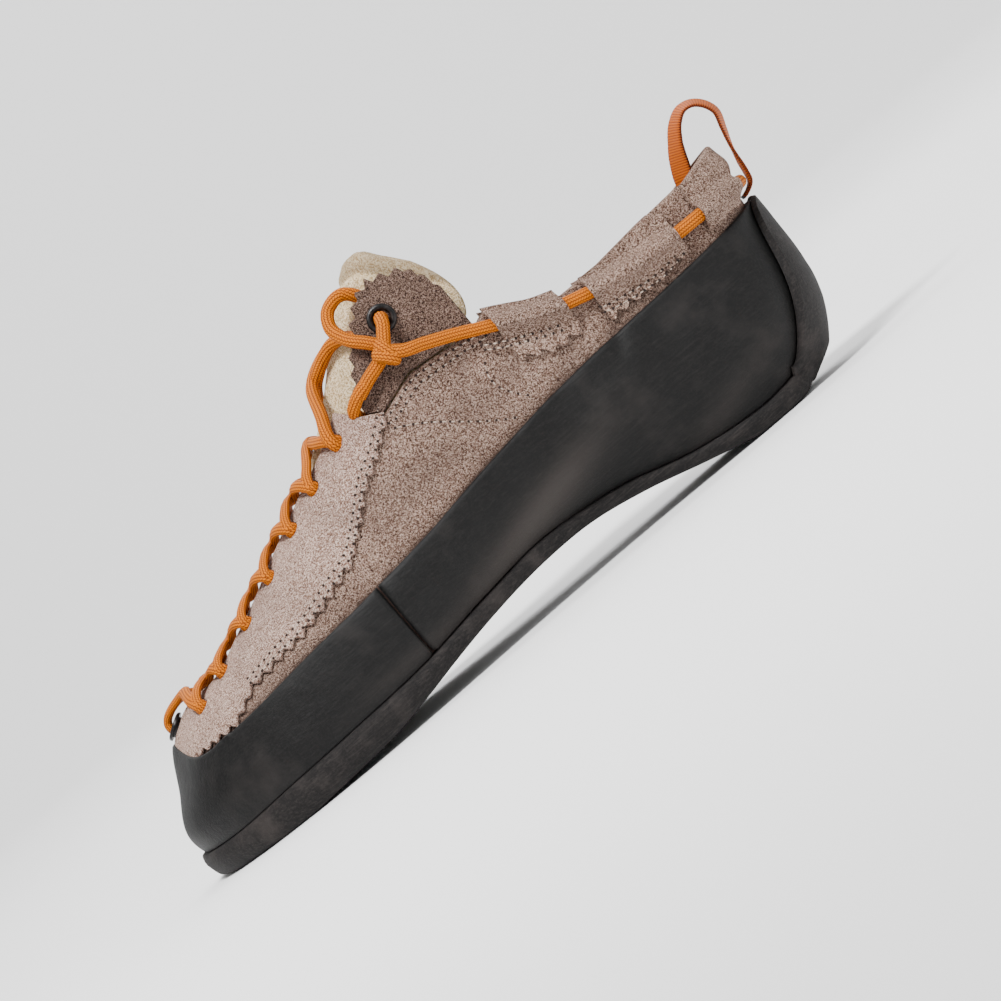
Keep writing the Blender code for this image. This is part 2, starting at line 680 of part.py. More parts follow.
def tunnel(name, row, side, finish):
    """A strip of leather folded over the lace."""
    ends = [side_place(x * LENGTH, 3.0, side) for x in (row.start, row.end)]
    u = np.linspace(min(ends), max(ends), TUNNEL_STEPS)
    lace = level_at(u, line(LACE_LINE))
    reach = np.linalg.norm(form(u, lace + 0.1) - form(u, lace - 0.1), axis=1) / 0.2
    radius = LACE / 2
    rows = [level_at(u, line(TUNNEL_EDGE))]
    rises = [0.0]
    for step in TUNNEL_ROWS:
        rows.append(lace + step.across * radius / reach)
        rises.append(step.rise * radius)
    rows.append(collar_level(u))
    rises.append(0.0)
    rows = np.array(rows)
    rows[0] = np.minimum(rows[0], rows[1] - 0.05)
    rows[-1] = np.maximum(rows[-1], rows[-2] + 0.03)
    inner = GAP + TUNNEL_SLACK + np.array(rises)
    return shell(name, u, rows.T, inner[None, :], inner[None, :] + TUNNEL, finish)


def frame_at(u, v):
    """A point on the leather and its outward direction."""
    return form(u, v)[0], outward(np.array([u]), np.array([v]))[0]


def turned(name, centre, axis, profile, finish, sides=16):
    """A ring turned round an axis from a closed profile of (radius, height) pairs."""
    across = np.cross(axis, [0, 0, 1.0])
    across /= np.linalg.norm(across)
    other = np.cross(axis, across)
    vertices = []
    for k in range(sides):
        angle = 2 * np.pi * k / sides
        arm = across * np.cos(angle) + other * np.sin(angle)
        vertices += [centre + arm * radius + axis * height for radius, height in profile]
    count = len(profile)
    faces = []
    for k in range(sides):
        a, b = k * count, (k + 1) % sides * count
        for j in range(count):
            n = (j + 1) % count
            faces.append([a + j, b + j, b + n, a + n])
    return new_object(name, vertices, faces, finish)


def eyelet(name, u, v, seat, back, finish):
    """A metal ring: a flange on the leather and a barrel through it."""
    centre, axis = frame_at(u, v)
    low = seat + GAP * 1.5
    profile = [
        (EYELET_BORE / 2, low + EYELET_THICK),
        (EYELET_OUTER / 2 - EYELET_THICK / 2, low + EYELET_THICK),
        (EYELET_OUTER / 2, low),
        (EYELET_BARREL / 2, low),
        (EYELET_BARREL / 2, back),
        (EYELET_BORE / 2, back),
    ]
    return turned(name, centre, axis, profile, finish)


def rod(name, start, end, radius, finish, sides):
    """A plain round bar between two points, as vertices and faces."""
    axis = (end - start) / np.linalg.norm(end - start)
    across = np.cross(axis, [0.3, 1.0, 0.2])
    across /= np.linalg.norm(across)
    other = np.cross(axis, across)
    angles = 2 * np.pi * np.arange(sides) / sides
    circle = [across * np.cos(a) * radius + other * np.sin(a) * radius for a in angles]
    vertices = [start + arm for arm in circle] + [end + arm for arm in circle]
    faces = [[i, (i + 1) % sides, sides + (i + 1) % sides, sides + i] for i in range(sides)]
    faces += [list(range(sides))[::-1], list(range(sides, 2 * sides))]
    return new_object(name, vertices, faces, finish)


def punch(targets, name, u, v, radius, finish, sides=6):
    """A hole through the leather at one place."""
    centre, axis = frame_at(u, v)
    tool = rod(name, centre - axis * PUNCH_REACH, centre + axis * PUNCH_REACH, radius, finish, sides)
    for target in targets:
        boolean(target, tool, "DIFFERENCE")


def hole_place(hole, side):
    u = side_place(hole.x * LENGTH, 3.6, side)
    span = np.linalg.norm(form(u, 4.0) - form(u, 3.0))
    return u, 4.0 - hole.inset * HOLE_INSET / span


def ridge_point(x, thick):
    """The middle of a lace that lies over the tongue's ridge, and the way up from the ridge."""
    xs = np.array([row.x_ridge for row in TONGUE_ROWS]) * LENGTH
    zs = np.array([row.z_ridge for row in TONGUE_ROWS]) * HEIGHT
    slope = np.interp(x, (xs[1:] + xs[:-1]) / 2, np.diff(zs) / np.diff(xs))
    rise = np.array([-slope, 0, 1]) / np.hypot(slope, 1)
    middle = np.interp(x, [row.x * LENGTH for row in SECTIONS], [row.mid * WIDTH for row in SECTIONS])
    return np.array([x, middle, np.interp(x, xs, zs)]) + rise * (thick + RIDGE_LIFT), rise


def on_wall(u, v, lift):
    """A lace stop over the leather: its place and its way up, as one row."""
    return np.concatenate([layer(u, v, lift)[0], frame_at(u, v)[1] * FRAME_SCALE])


def over_ridge(x, thick, lift):
    point, rise = ridge_point(x, thick)
    return np.concatenate([point + rise * lift, rise * FRAME_SCALE])


def tube(rows, width, thick, sides):
    """Vertices and faces of a closed strand: each row is a place and its way up."""
    rows = np.array(rows)
    points, ups = rows[:, :3], rows[:, 3:]
    along = np.gradient(points, axis=0)
    along /= np.linalg.norm(along, axis=1)[:, None]
    across = np.cross(along, ups)
    across /= np.linalg.norm(across, axis=1)[:, None]
    ups = np.cross(across, along)
    angles = 2 * np.pi * (np.arange(sides) + 0.5) / sides
    rings = [
        point + np.outer(np.cos(angles), side) * width + np.outer(np.sin(angles), up) * thick
        for point, side, up in zip(points, across, ups)
    ]
    faces = []
    for k in range(len(points) - 1):
        low = k * sides
        for i in range(sides):
            n = (i + 1) % sides
            faces.append([low + i, low + n, low + sides + n, low + sides + i])
    last = (len(points) - 1) * sides
    faces += [list(range(sides))[::-1], [last + i for i in range(sides)]]
    return list(np.concatenate(rings)), faces


def crossing_paths():
    """The zigzag's strands, each with its half thickness: the pressed ones, then the top pair."""
    radius = LACE / 2
    thick = radius * PRESSED
    on_leather = GAP + OVERLAY + thick + LACE_LIFT
    ends = {}
    for side in (-1, 1):
        for number, hole in enumerate(LACE_HOLES):
            ends[side, number] = on_wall(*hole_place(hole, side), on_leather)
    paths = []
    for number in range(len(LACE_HOLES) - 1):
        ahead, behind = LACE_HOLES[number + 1].x * LENGTH, LACE_HOLES[number].x * LENGTH
        middle = (ahead + behind) / 2
        for side in (-1, 1):
            brims = [layer(side_place(middle, 4.0, edge), 4.0, on_leather)[0][2] for edge in (-1, 1)]
            low = ridge_point(middle, thick)[0][2]
            lift = max(0, sum(brims) / 2 - THROAT_DIP - low) + CROSS_LIFT * side
            over = over_ridge(middle, thick, lift)
            near = side_place(behind * 0.75 + ahead * 0.25, 4.0, side)
            far = side_place(behind * 0.25 + ahead * 0.75, 4.0, -side)
            paths.append(([
                ends[side, number], on_wall(near, 4.0, on_leather), over,
                on_wall(far, 4.0, on_leather), ends[-side, number + 1],
            ], thick))
    for side in (-1, 1):
        seat = EYELET_THICK + GAP * 2
        toe = on_wall(TOE_AT, TOE_EYELET_LEVEL, on_leather + seat)
        throat = on_wall(TOE_AT + side * 0.3, 3.9, on_leather + seat)
        paths.append(([toe, throat, ends[side, len(LACE_HOLES) - 1]], thick))
    for side in (-1, 1):
        under_flap = place(FLAP_TUCK.x * LENGTH, FLAP_TUCK.z * HEIGHT, side)
        tuck = on_wall(*under_flap, -FLAP - radius - LACE_LIFT)
        near = over_ridge(FLAP_TUCK.x * 1.08 * LENGTH, radius, LACE_LIFT * 5)
        near = near * 0.45 + tuck * 0.55
        first = LACE_HOLES[0].x
        over = over_ridge((FLAP_TUCK.x * 0.35 + first * 0.65) * LENGTH, radius, CROSS_LIFT * (1 + side))
        rest = GAP + OVERLAY + radius + LACE_LIFT
        edge = on_wall(side_place(first * 0.97 * LENGTH, 4.0, -side), 4.0, rest)
        paths.append(([tuck, near, over, edge, on_wall(*hole_place(LACE_HOLES[0], -side), rest)], radius))
    return paths


def crossings(finish):
    """The lace's zigzag over the tongue, one joined solid from the toe eyelet to the flaps."""
    radius = LACE / 2
    vertices, faces = [], []
    for path, thick in crossing_paths():
        more, loops = tube(smooth_rows(path, LACE_STEPS), radius, thick, LACE_SIDES)
        faces += [[len(vertices) + k for k in loop] for loop in loops]
        vertices += more
    run = new_object("lace_crossings", vertices, faces, finish)
    on_leather = GAP + OVERLAY + radius * PRESSED + LACE_LIFT
    plugs = [(hole_place(hole, side), on_leather) for side in (-1, 1) for hole in LACE_HOLES]
    plugs.append(((TOE_AT, TOE_EYELET_LEVEL), on_leather + EYELET_THICK + GAP * 2))
    vertices, faces = [], []
    for (u, v), lift in plugs:
        ends = [layer(u, v, depth)[0] for depth in (-WALL / 2, lift)]
        ahead = form(u, v + 0.05)[0] - form(u, v)[0]
        rows = [np.concatenate([end, ahead]) for end in ends]
        more, loops = tube(rows, radius - PLUG_SLACK, radius - PLUG_SLACK, LACE_SIDES)
        faces += [[len(vertices) + k for k in loop] for loop in loops]
        vertices += more
    plug = new_object("lace_plugs_form", vertices, faces, finish)
    boolean(run, plug, "UNION")
    run.modifiers[-1].use_self = True
    return run


def ankle_lace(finish):
    """The lace's free run: slot, knot, eyelet, tunnels and heel, and the same on the other side."""
    radius = LACE / 2
    sides = []
    for side in (-1, 1):
        stops = []
        for stop in ANKLE_RUN:
            u, v = place(stop.x * LENGTH, stop.z * HEIGHT, side)
            stops.append(layer(u, v, stop.out * radius)[0])
        sides.append(stops)
    back = layer(0.0, level_at(0.0, LACE_LINE[-1].z * HEIGHT), ANKLE_RUN[-1].out * radius)[0]
    route = smooth_rows(sides[0] + [back] + sides[1][::-1], 6)
    points = [route[0]]
    for k in range(1, len(route) - 1):
        step = route[k] - points[-1]
        length = np.linalg.norm(step)
        ahead = route[k + 1] - route[k]
        turn = np.arccos(np.clip(step @ ahead / length / np.linalg.norm(ahead), -1, 1))
        if length > LACE * CORD_STEP or (turn > CORD_TURN and length > LACE / 2):
            points.append(route[k])
    points.append(route[-1])
    count = len(points)
    curve = bpy.data.curves.new("ankle_lace", "CURVE")
    curve.dimensions = "3D"
    curve.bevel_depth = radius
    curve.bevel_resolution = 2
    curve.use_fill_caps = True
    spline = curve.splines.new("POLY")
    spline.points.add(count - 1)
    for slot, point in zip(spline.points, points):
        slot.co = (*point, 1)
    curve.materials.append(finish)
    made = bpy.data.objects.new("ankle_lace", curve)
    bpy.context.scene.collection.objects.link(made)
    return made


def pull_loop(finish):
    """A webbing loop at the heel: its front leg turns its face a little to the side."""
    path = smooth_rows([(p.x * LENGTH, 0, p.z * HEIGHT) for p in LOOP_LINE], 1)
    ahead = np.gradient(path, axis=0)
    ahead /= np.linalg.norm(ahead, axis=1)[:, None]
    share = np.linspace(0, 1, len(path))
    twist = LOOP_TWIST * np.sin(np.pi * np.clip(share / 0.6, 0, 1)) ** 2
    vertices, faces = [], []
    for point, direction, angle in zip(path, ahead, twist):
        face = np.cross(direction, [0, 1.0, 0])
        width = np.array([0, 1.0, 0]) * np.cos(angle) + face * np.sin(angle)
        thick = np.cross(direction, width)
        for a, b in ((-1, -1), (1, -1), (1, 1), (-1, 1)):
            vertices.append(point + width * a * LOOP_WIDTH / 2 + thick * b * LOOP_THICK / 2)
    for k in range(len(path) - 1):
        for i in range(4):
            n = (i + 1) % 4
            faces.append([4 * k + i, 4 * k + n, 4 * k + 4 + n, 4 * k + 4 + i])
    faces += [[3, 2, 1, 0], [len(vertices) - 4 + i for i in range(4)]]
    return new_object("pull_loop", vertices, faces, finish, smooth=50)


def build():
    blank_scene()
    rubber = material("black_rubber", (0.02, 0.02, 0.021), 0.62)
    suede = material("taupe_suede", (0.40, 0.30, 0.27), 0.95)
    lining = material("insole_board", (0.35, 0.28, 0.2), 0.9)
    outsole(rubber)
    wall = upper(suede)
    stay = eyestay(suede)
    black = material("black_metal", (0.02, 0.02, 0.02), 0.35, 0.8)
    orange = material("orange_cord", (0.8, 0.21, 0.01), 0.75)
    for side, word in ((-1, "lateral"), (1, "medial")):
        for number, hole in enumerate(LACE_HOLES):
            punch((wall, stay), f"hole_{word}_{number + 1}", *hole_place(hole, side), HOLE / 2, suede)
        beside = flap(f"flap_{word}", side, suede)
        at = place(FLAP_EYELET.x * LENGTH, FLAP_EYELET.z * HEIGHT, side)
        punch((beside,), f"hole_{word}_top", *at, EYELET_BARREL / 2 + GAP * 1.5, suede, 12)
        eyelet(f"eyelet_{word}", *at, 0.0, -FLAP - GAP, black)
        for number, row in enumerate(TUNNELS):
            tunnel(f"tunnel_{word}_{number + 1}", row, side, suede)
    punch((wall, stay), "hole_toe", TOE_AT, TOE_EYELET_LEVEL, EYELET_BARREL / 2 + GAP * 1.5, suede, 12)
    eyelet("eyelet_toe", TOE_AT, TOE_EYELET_LEVEL, GAP + OVERLAY, -WALL - GAP, black)
    crossings(orange)
    ankle_lace(orange)
    pull_loop(orange)
    lateral_seam = station_at(RAND_SEAM * LENGTH, -1)
    medial_seam = station_at(RAND_SEAM * LENGTH, 1)
    slit = GAP / 2 / ROUND_CHORD.mean()
    rand("front_rand", lateral_seam + slit, medial_seam - slit, rubber)
    rand("rear_rand", medial_seam + slit - AROUND, lateral_seam - slit, rubber)
    insole(lining)
    tongue(material("cream_suede", (0.66, 0.6, 0.5), 0.95))


build()
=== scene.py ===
import json
from collections import namedtuple

import bmesh
import bpy
import numpy as np
from mathutils import Matrix, Vector

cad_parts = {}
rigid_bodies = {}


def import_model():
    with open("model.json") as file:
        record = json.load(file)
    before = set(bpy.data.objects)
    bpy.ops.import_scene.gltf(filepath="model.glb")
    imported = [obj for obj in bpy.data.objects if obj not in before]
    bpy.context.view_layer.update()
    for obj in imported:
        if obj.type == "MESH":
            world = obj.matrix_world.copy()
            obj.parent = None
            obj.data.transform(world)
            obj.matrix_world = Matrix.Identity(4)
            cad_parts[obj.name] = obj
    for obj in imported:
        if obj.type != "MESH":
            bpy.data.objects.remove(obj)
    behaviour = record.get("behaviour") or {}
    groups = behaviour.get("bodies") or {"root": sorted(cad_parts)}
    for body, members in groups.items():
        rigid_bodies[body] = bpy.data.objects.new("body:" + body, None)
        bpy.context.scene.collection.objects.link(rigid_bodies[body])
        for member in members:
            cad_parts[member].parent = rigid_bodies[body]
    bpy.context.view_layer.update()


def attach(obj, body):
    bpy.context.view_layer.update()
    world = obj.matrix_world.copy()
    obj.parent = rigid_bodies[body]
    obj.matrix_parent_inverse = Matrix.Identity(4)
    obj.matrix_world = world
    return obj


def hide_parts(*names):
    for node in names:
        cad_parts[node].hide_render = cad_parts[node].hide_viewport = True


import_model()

# Overall sizes, in metres
shoeLength = 0.260
shoeWidth = 0.094
shoeHeight = 0.120

# Sheet thicknesses and clearances
wallThick = 0.0020
randThick = 0.0020
overlayThick = 0.0013
flapThick = 0.0016
tunnelThick = 0.0013
tongueThick = 0.0022
heelStrip = 0.0034
gap = 0.0003

# The sole's edge
soleLip = 0.0008
edgeRound = 0.0016
flatInset = 0.0042

# Lace, eyelets and loop
laceWide = 0.0042
holeWide = 0.0052
eyeletBore = 0.0052
eyeletOuter = 0.0092
eyeletBarrel = 0.0066
holeInset = 0.0068
loopWidth = 0.0100
loopThick = 0.0011
eyeletThick = 0.0009

# How far the lace stands off what it passes, and how finely it is built
laceLift = 0.0008
ridgeLift = 0.0006
pressed = 0.62
throatDip = 0.0008
crossLift = 0.0005
tunnelSlack = 0.0002
frameScale = 0.001

# Sections from toe to heel. x: share of shoeLength. mid, half: shares of shoeWidth.
# tuck, shoulder, cuff, top: half widths as shares of half. toe, heel: how far the section
# bends round the end. z columns: heights as shares of shoeHeight; rand is the rubber's top edge.
Section = namedtuple(
    "Section",
    "x mid half tuck shoulder cuff top toe heel zFeather zBelly zShoulder zCuff zTop zRand",
)
sections = [Section(*row) for row in (
    (-0.815, 0.106, 0.234, 1.00, 0.86, 0.50, 0.11, 0.80, 0, 0.080, 0.133, 0.233, 0.329, 0.383, 0.317),
    (-0.773, 0.069, 0.351, 1.00, 0.87, 0.53, 0.12, 0.47, 0, 0.082, 0.150, 0.258, 0.342, 0.388, 0.288),
    (-0.700, 0.027, 0.436, 1.00, 0.87, 0.56, 0.14, 0.04, 0, 0.093, 0.167, 0.279, 0.358, 0.398, 0.290),
    (-0.600, 0.000, 0.473, 0.98, 0.87, 0.58, 0.19, 0, 0, 0.103, 0.183, 0.325, 0.429, 0.491, 0.312),
    (-0.500, -0.027, 0.447, 0.90, 0.88, 0.60, 0.24, 0, 0, 0.113, 0.208, 0.383, 0.521, 0.600, 0.330),
    (-0.400, -0.043, 0.388, 0.78, 0.88, 0.64, 0.33, 0, 0, 0.140, 0.242, 0.450, 0.617, 0.708, 0.353),
    (-0.300, -0.037, 0.340, 0.68, 0.91, 0.80, 0.62, 0, 0, 0.158, 0.267, 0.500, 0.700, 0.950, 0.387),
    (-0.200, -0.016, 0.319, 0.66, 0.94, 0.88, 0.74, 0, 0, 0.133, 0.275, 0.475, 0.633, 0.867, 0.414),
    (-0.100, 0.000, 0.319, 0.68, 0.95, 0.87, 0.80, 0, 0, 0.078, 0.258, 0.417, 0.533, 0.667, 0.429),
    (-0.015, 0.000, 0.309, 0.70, 0.94, 0.86, 0.80, 0, 0.12, 0.057, 0.242, 0.408, 0.525, 0.650, 0.438),
    (0.038, 0.000, 0.250, 0.66, 0.95, 0.90, 0.88, 0, 0.72, 0.068, 0.225, 0.412, 0.533, 0.650, 0.452),
)]

# The two ends, one row for each level: x as a share of shoeLength, z as a share of shoeHeight
End = namedtuple("End", "level x z")
toeEnd = [End(*row) for row in (
    ("feather", -0.836, 0.080), ("belly", -0.841, 0.120), ("shoulder", -0.815, 0.235),
    ("cuff", -0.783, 0.343), ("top", -0.743, 0.388),
)]
toeMid = 0.125
toeRand = 0.345
heelEnd = [End(*row) for row in (
    ("feather", 0.060, 0.075), ("belly", 0.111, 0.217), ("shoulder", 0.126, 0.417), ("cuff", 0.131, 0.542),
    ("top", 0.142, 0.680),
)]
heelRand = 0.467

# Lines seen from the side: x as a share of shoeLength, z as a share of shoeHeight
Point = namedtuple("Point", "x z")
soleBottom = [Point(*row) for row in (
    (-0.860, 0.030), (-0.848, 0.014), (-0.825, 0.003), (-0.790, 0), (-0.700, 0), (-0.670, 0.006),
    (-0.620, 0.014), (-0.570, 0.023), (-0.523, 0.041), (-0.464, 0.067), (-0.404, 0.089), (-0.322, 0.107),
    (-0.249, 0.106), (-0.181, 0.081), (-0.102, 0.037), (-0.051, 0.010), (-0.030, 0), (0.020, 0),
    (0.043, 0.006), (0.058, 0.012), (0.071, 0.022), (0.100, 0.062),
)]
collarEdge = [Point(*row) for row in (
    (-0.400, 0.740), (-0.375, 0.675), (-0.350, 0.645), (-0.300, 0.680), (-0.255, 0.670), (-0.212, 0.660),
    (-0.192, 0.683), (-0.150, 0.633), (-0.110, 0.590), (-0.045, 0.588), (0.023, 0.603), (0.081, 0.610),
    (0.115, 0.628), (0.150, 0.645),
)]

eyestayEdge = [Point(*row) for row in (
    (-0.707, 0.276), (-0.662, 0.326), (-0.623, 0.337), (-0.581, 0.345), (-0.533, 0.372), (-0.486, 0.403),
    (-0.449, 0.469), (-0.422, 0.519), (-0.392, 0.556), (-0.352, 0.622),
)]
eyestayBack = -0.352
randSeam = -0.482
flapEdge = [Point(*row) for row in (
    (-0.369, 0.720), (-0.337, 0.828), (-0.317, 0.875), (-0.296, 0.918), (-0.269, 0.936), (-0.229, 0.902),
    (-0.215, 0.860), (-0.208, 0.800),
)]
laceLine = [Point(*row) for row in (
    (-0.202, 0.646), (-0.173, 0.615), (-0.146, 0.585), (-0.100, 0.554), (-0.058, 0.533), (-0.015, 0.520),
    (0.050, 0.518), (0.120, 0.520),
)]
tunnelEdge = [Point(*row) for row in (
    (-0.223, 0.581), (-0.192, 0.524), (-0.151, 0.483), (-0.108, 0.483), (-0.100, 0.476), (-0.090, 0.455),
    (-0.010, 0.450), (0.070, 0.470), (0.125, 0.482),
)]

# Leather tunnels over the lace, from the ankle back to the heel: first and last x
Tunnel = namedtuple("Tunnel", "start end")
tunnels = (Tunnel(-0.192, -0.115), Tunnel(-0.083, 0.036), Tunnel(0.070, 0.118))

# The tunnel's section: places across the lace and the height of its inside, in lace radii
TunnelRow = namedtuple("TunnelRow", "across rise")
tunnelRows = [TunnelRow(*row) for row in (
    (-2.5, 0), (-1.43, 1.05), (-0.76, 2.1), (0, 2.4), (0.76, 2.1), (1.43, 1.05), (2.5, 0),
)]

# Lace holes from ankle to toe: x as a share of shoeLength, distance from the throat edge in holeInset
Hole = namedtuple("Hole", "x inset")
laceHoles = [Hole(*row) for row in (
    (-0.412, 1), (-0.467, 1), (-0.516, 1), (-0.571, 1), (-0.626, 1), (-0.684, 1.1), (-0.725, 1.8),
)]
toeEyeletLevel = 3.25
flapEyelet = Point(-0.284, 0.827)
flapTuck = Point(-0.326, 0.838)

# The lace's free run on one side of the ankle, from the slot to the tunnels: x as a share of shoeLength,
# z as a share of shoeHeight, out as lace radii from the leather
LaceStop = namedtuple("LaceStop", "x z out")
ankleRun = [LaceStop(*row) for row in (
    (-0.356, 0.706, 1.5), (-0.335, 0.728, 1.5), (-0.312, 0.748, 1.5), (-0.302, 0.765, 1.5),
    (-0.309, 0.790, 1.5), (-0.325, 0.836, 1.6), (-0.331, 0.885, 1.2), (-0.325, 0.930, 0),
    (-0.305, 0.945, -1.5), (-0.290, 0.918, -2.3), (-0.284, 0.875, -2.6), (-0.284, 0.838, -2.5),
    (-0.284, 0.827, -1.0), (-0.284, 0.827, 0.9), (-0.285, 0.822, 2.2), (-0.287, 0.806, 3.0),
    (-0.293, 0.785, 3.4), (-0.301, 0.750, 3.7), (-0.292, 0.728, 3.6), (-0.265, 0.706, 2.4),
    (-0.235, 0.680, 1.6), (-0.202, 0.646, 1.3), (-0.173, 0.615, 1.24), (-0.146, 0.585, 1.24),
    (-0.100, 0.554, 1.24), (-0.058, 0.533, 1.24), (-0.015, 0.520, 1.24), (0.030, 0.518, 1.26),
    (0.055, 0.518, 1.26), (0.080, 0.519, 1.26), (0.105, 0.520, 1.31), (0.124, 0.520, 1.33),
)]

# The pull loop's middle line, from inside the heel over the top to the outside
loopLine = [Point(*row) for row in (
    (0.1128, 0.400), (0.1133, 0.440), (0.107, 0.495), (0.094, 0.555), (0.0912, 0.593), (0.100, 0.650),
    (0.112, 0.698), (0.1265, 0.736), (0.1415, 0.754), (0.1545, 0.750), (0.164, 0.734), (0.172, 0.697),
    (0.1665, 0.650), (0.1608, 0.610), (0.1560, 0.560), (0.1540, 0.530), (0.1505, 0.502), (0.1400, 0.486),
    (0.1320, 0.481),
)]
loopTwist = 0.55

# Tongue rows, toe to tip. xSide, vSide: where it meets the throat edge. xWing, vWing: its edge
# inside the shoe. xRidge, zRidge: its middle. room: how much it gives way to the lace beside it.
TongueRow = namedtuple("TongueRow", "xSide vSide xWing vWing xRidge zRidge room")
tongueRows = [TongueRow(*row) for row in (
    (-0.732, 3.9, -0.728, 3.4, -0.737, 0.349, 0), (-0.694, 4.0, -0.690, 3.4, -0.700, 0.378, 0),
    (-0.646, 4.0, -0.644, 3.3, -0.650, 0.426, 0), (-0.577, 4.0, -0.573, 3.3, -0.585, 0.499, 0),
    (-0.500, 4.0, -0.496, 3.2, -0.512, 0.587, 0), (-0.431, 4.0, -0.423, 3.1, -0.450, 0.676, 0),
    (-0.377, 3.8, -0.354, 2.9, -0.400, 0.762, 0.6), (-0.335, 3.8, -0.277, 2.8, -0.362, 0.840, 1),
    (-0.288, 3.9, -0.200, 3.4, -0.321, 0.928, 1), (-0.252, 4.3, -0.214, 4.12, -0.277, 1.002, 1),
)]
tongueClear = 0.0010
tongueRoom = 0.0055

# The heel strip's top edge: u in stations from the middle of the heel, z as a share of shoeHeight
StripEdge = namedtuple("StripEdge", "u z")
stripEdge = [StripEdge(*row) for row in (
    (0, 0.470), (0.25, 0.466), (0.50, 0.437), (0.625, 0.385), (0.75, 0.280), (0.875, 0.163), (1.00, 0.110),
)]

toeAt = len(sections) + 1
stationCount = 2 * toeAt


def endPoints(rows, mid):
    return [(row.x * shoeLength, mid * shoeWidth, row.z * shoeHeight) for row in rows]


# One section's five levels on one side: side is -1 for the little toe, 1 for the big toe.
def sidePoints(row, side):
    spread = (row.tuck, 1, row.shoulder, row.cuff, row.top)
    heights = (row.zFeather, row.zBelly, row.zShoulder, row.zCuff, row.zTop)
    points = []
    for level in range(5):
        shift = row.toe * (toeEnd[level].x - toeEnd[0].x)
        shift += row.heel * (heelEnd[level].x - heelEnd[0].x)
        points.append((
            (row.x + shift) * shoeLength,
            (row.mid + side * row.half * spread[level]) * shoeWidth,
            heights[level] * shoeHeight,
        ))
    return points


# Stations in order: heel, little-toe side forwards, toe, big-toe side back.
def stationPoints():
    lateral = [sidePoints(row, -1) for row in reversed(sections)]
    medial = [sidePoints(row, 1) for row in sections]
    return np.array(
        [endPoints(heelEnd, 0)] + lateral + [endPoints(toeEnd, toeMid)] + medial
    )


def stationValues(column, heel, toe):
    side = [getattr(row, column) for row in sections]
    return np.array([heel] + side[::-1] + [toe] + side) * shoeHeight


stations = stationPoints()
randLine = stationValues("zRand", heelRand, toeRand)
featherLine = stationValues("zFeather", heelEnd[0].z, toeEnd[0].z)
roundChord = np.linalg.norm(np.roll(stations, -1, axis=0) - stations, axis=2).mean(axis=1)


def hermite(a, b, slopeA, slopeB, chord, t):
    return (
        (2 * t**3 - 3 * t**2 + 1) * a
        + (t**3 - 2 * t**2 + t) * chord * slopeA
        + (-2 * t**3 + 3 * t**2) * b
        + (t**3 - t**2) * chord * slopeB
    )


# Slope at station i of a closed run of values, from its two neighbours.
def roundSlope(values, i):
    back, ahead = roundChord[i - 1], roundChord[i]
    shape = (-1,) + (1,) * (values.ndim - 1)
    back, ahead = back.reshape(shape), ahead.reshape(shape)
    riseBack = (values[i] - values[i - 1]) / back
    riseAhead = (values[(i + 1) % stationCount] - values[i]) / ahead
    return (riseBack * ahead + riseAhead * back) / (back + ahead)


# A closed smooth run through the stations' values, read at u in stations from the heel.
def roundValues(values, u):
    u = np.mod(u, stationCount)
    i = np.floor(u).astype(int) % stationCount
    j = (i + 1) % stationCount
    shape = (-1,) + (1,) * (values.ndim - 1)
    t = (u - np.floor(u)).reshape(shape)
    chord = roundChord[i].reshape(shape)
    return hermite(values[i], values[j], roundSlope(values, i), roundSlope(values, j), chord, t)


# Outside of the leather: u in stations round from the heel, v in levels up from the feather.
def form(u, v):
    u, v = np.broadcast_arrays(np.asarray(u, float), np.asarray(v, float))
    u, v = u.ravel(), v.ravel()
    levels = roundValues(stations, u)
    chord = np.linalg.norm(np.diff(levels, axis=1), axis=2)
    rise = np.diff(levels, axis=1) / chord[:, :, None]
    slope = np.empty_like(levels)
    low, high = chord[:, :-1, None], chord[:, 1:, None]
    slope[:, 1:-1] = (rise[:, :-1] * high + rise[:, 1:] * low) / (low + high)
    slope[:, 0] = 2 * rise[:, 0] - slope[:, 1]
    slope[:, -1] = 2 * rise[:, -1] - slope[:, -2]
    i = np.clip(np.floor(v).astype(int), 0, 3)
    n = np.arange(len(u))
    t = (v - i)[:, None]
    reach = chord[n, i][:, None]
    inside = hermite(levels[n, i], levels[n, i + 1], slope[n, i], slope[n, i + 1], reach, np.clip(t, 0, 1))
    past = np.where(t < 0, t * reach * slope[n, i], 0) + np.where(t > 1, (t - 1) * reach * slope[n, i + 1], 0)
    return inside + past


def outward(u, v):
    step = 0.01
    across = form(u + step, v) - form(u - step, v)
    up = form(u, v + step) - form(u, v - step)
    normal = np.cross(up, across)
    return normal / np.linalg.norm(normal, axis=1)[:, None]


# The form moved outwards by depth.
def layer(u, v, depth):
    u, v = np.broadcast_arrays(np.asarray(u, float), np.asarray(v, float))
    u, v = u.ravel(), v.ravel()
    return form(u, v) + outward(u, v) * np.broadcast_to(depth, u.shape)[:, None]


# The level where a layer reaches a height, which may depend on x.
def levelAt(u, heights, depth=0.0, low=-0.3, high=4.0):
    u = np.atleast_1d(np.asarray(u, float))
    low = np.full(u.shape, low)
    high = np.full(u.shape, high)
    for _ in range(30):
        middle = (low + high) / 2
        points = layer(u, middle, depth)
        wanted = heights(points[:, 0]) if callable(heights) else heights
        under = points[:, 2] < wanted
        low = np.where(under, middle, low)
        high = np.where(under, high, middle)
    return (low + high) / 2


# A side-view line as a function of x, straight between its points.
def line(points):
    xs = np.array([p.x for p in points]) * shoeLength
    zs = np.array([p.z for p in points]) * shoeHeight
    return lambda x: np.interp(x, xs, zs)


def feather(u):
    return roundValues(featherLine, np.atleast_1d(u))


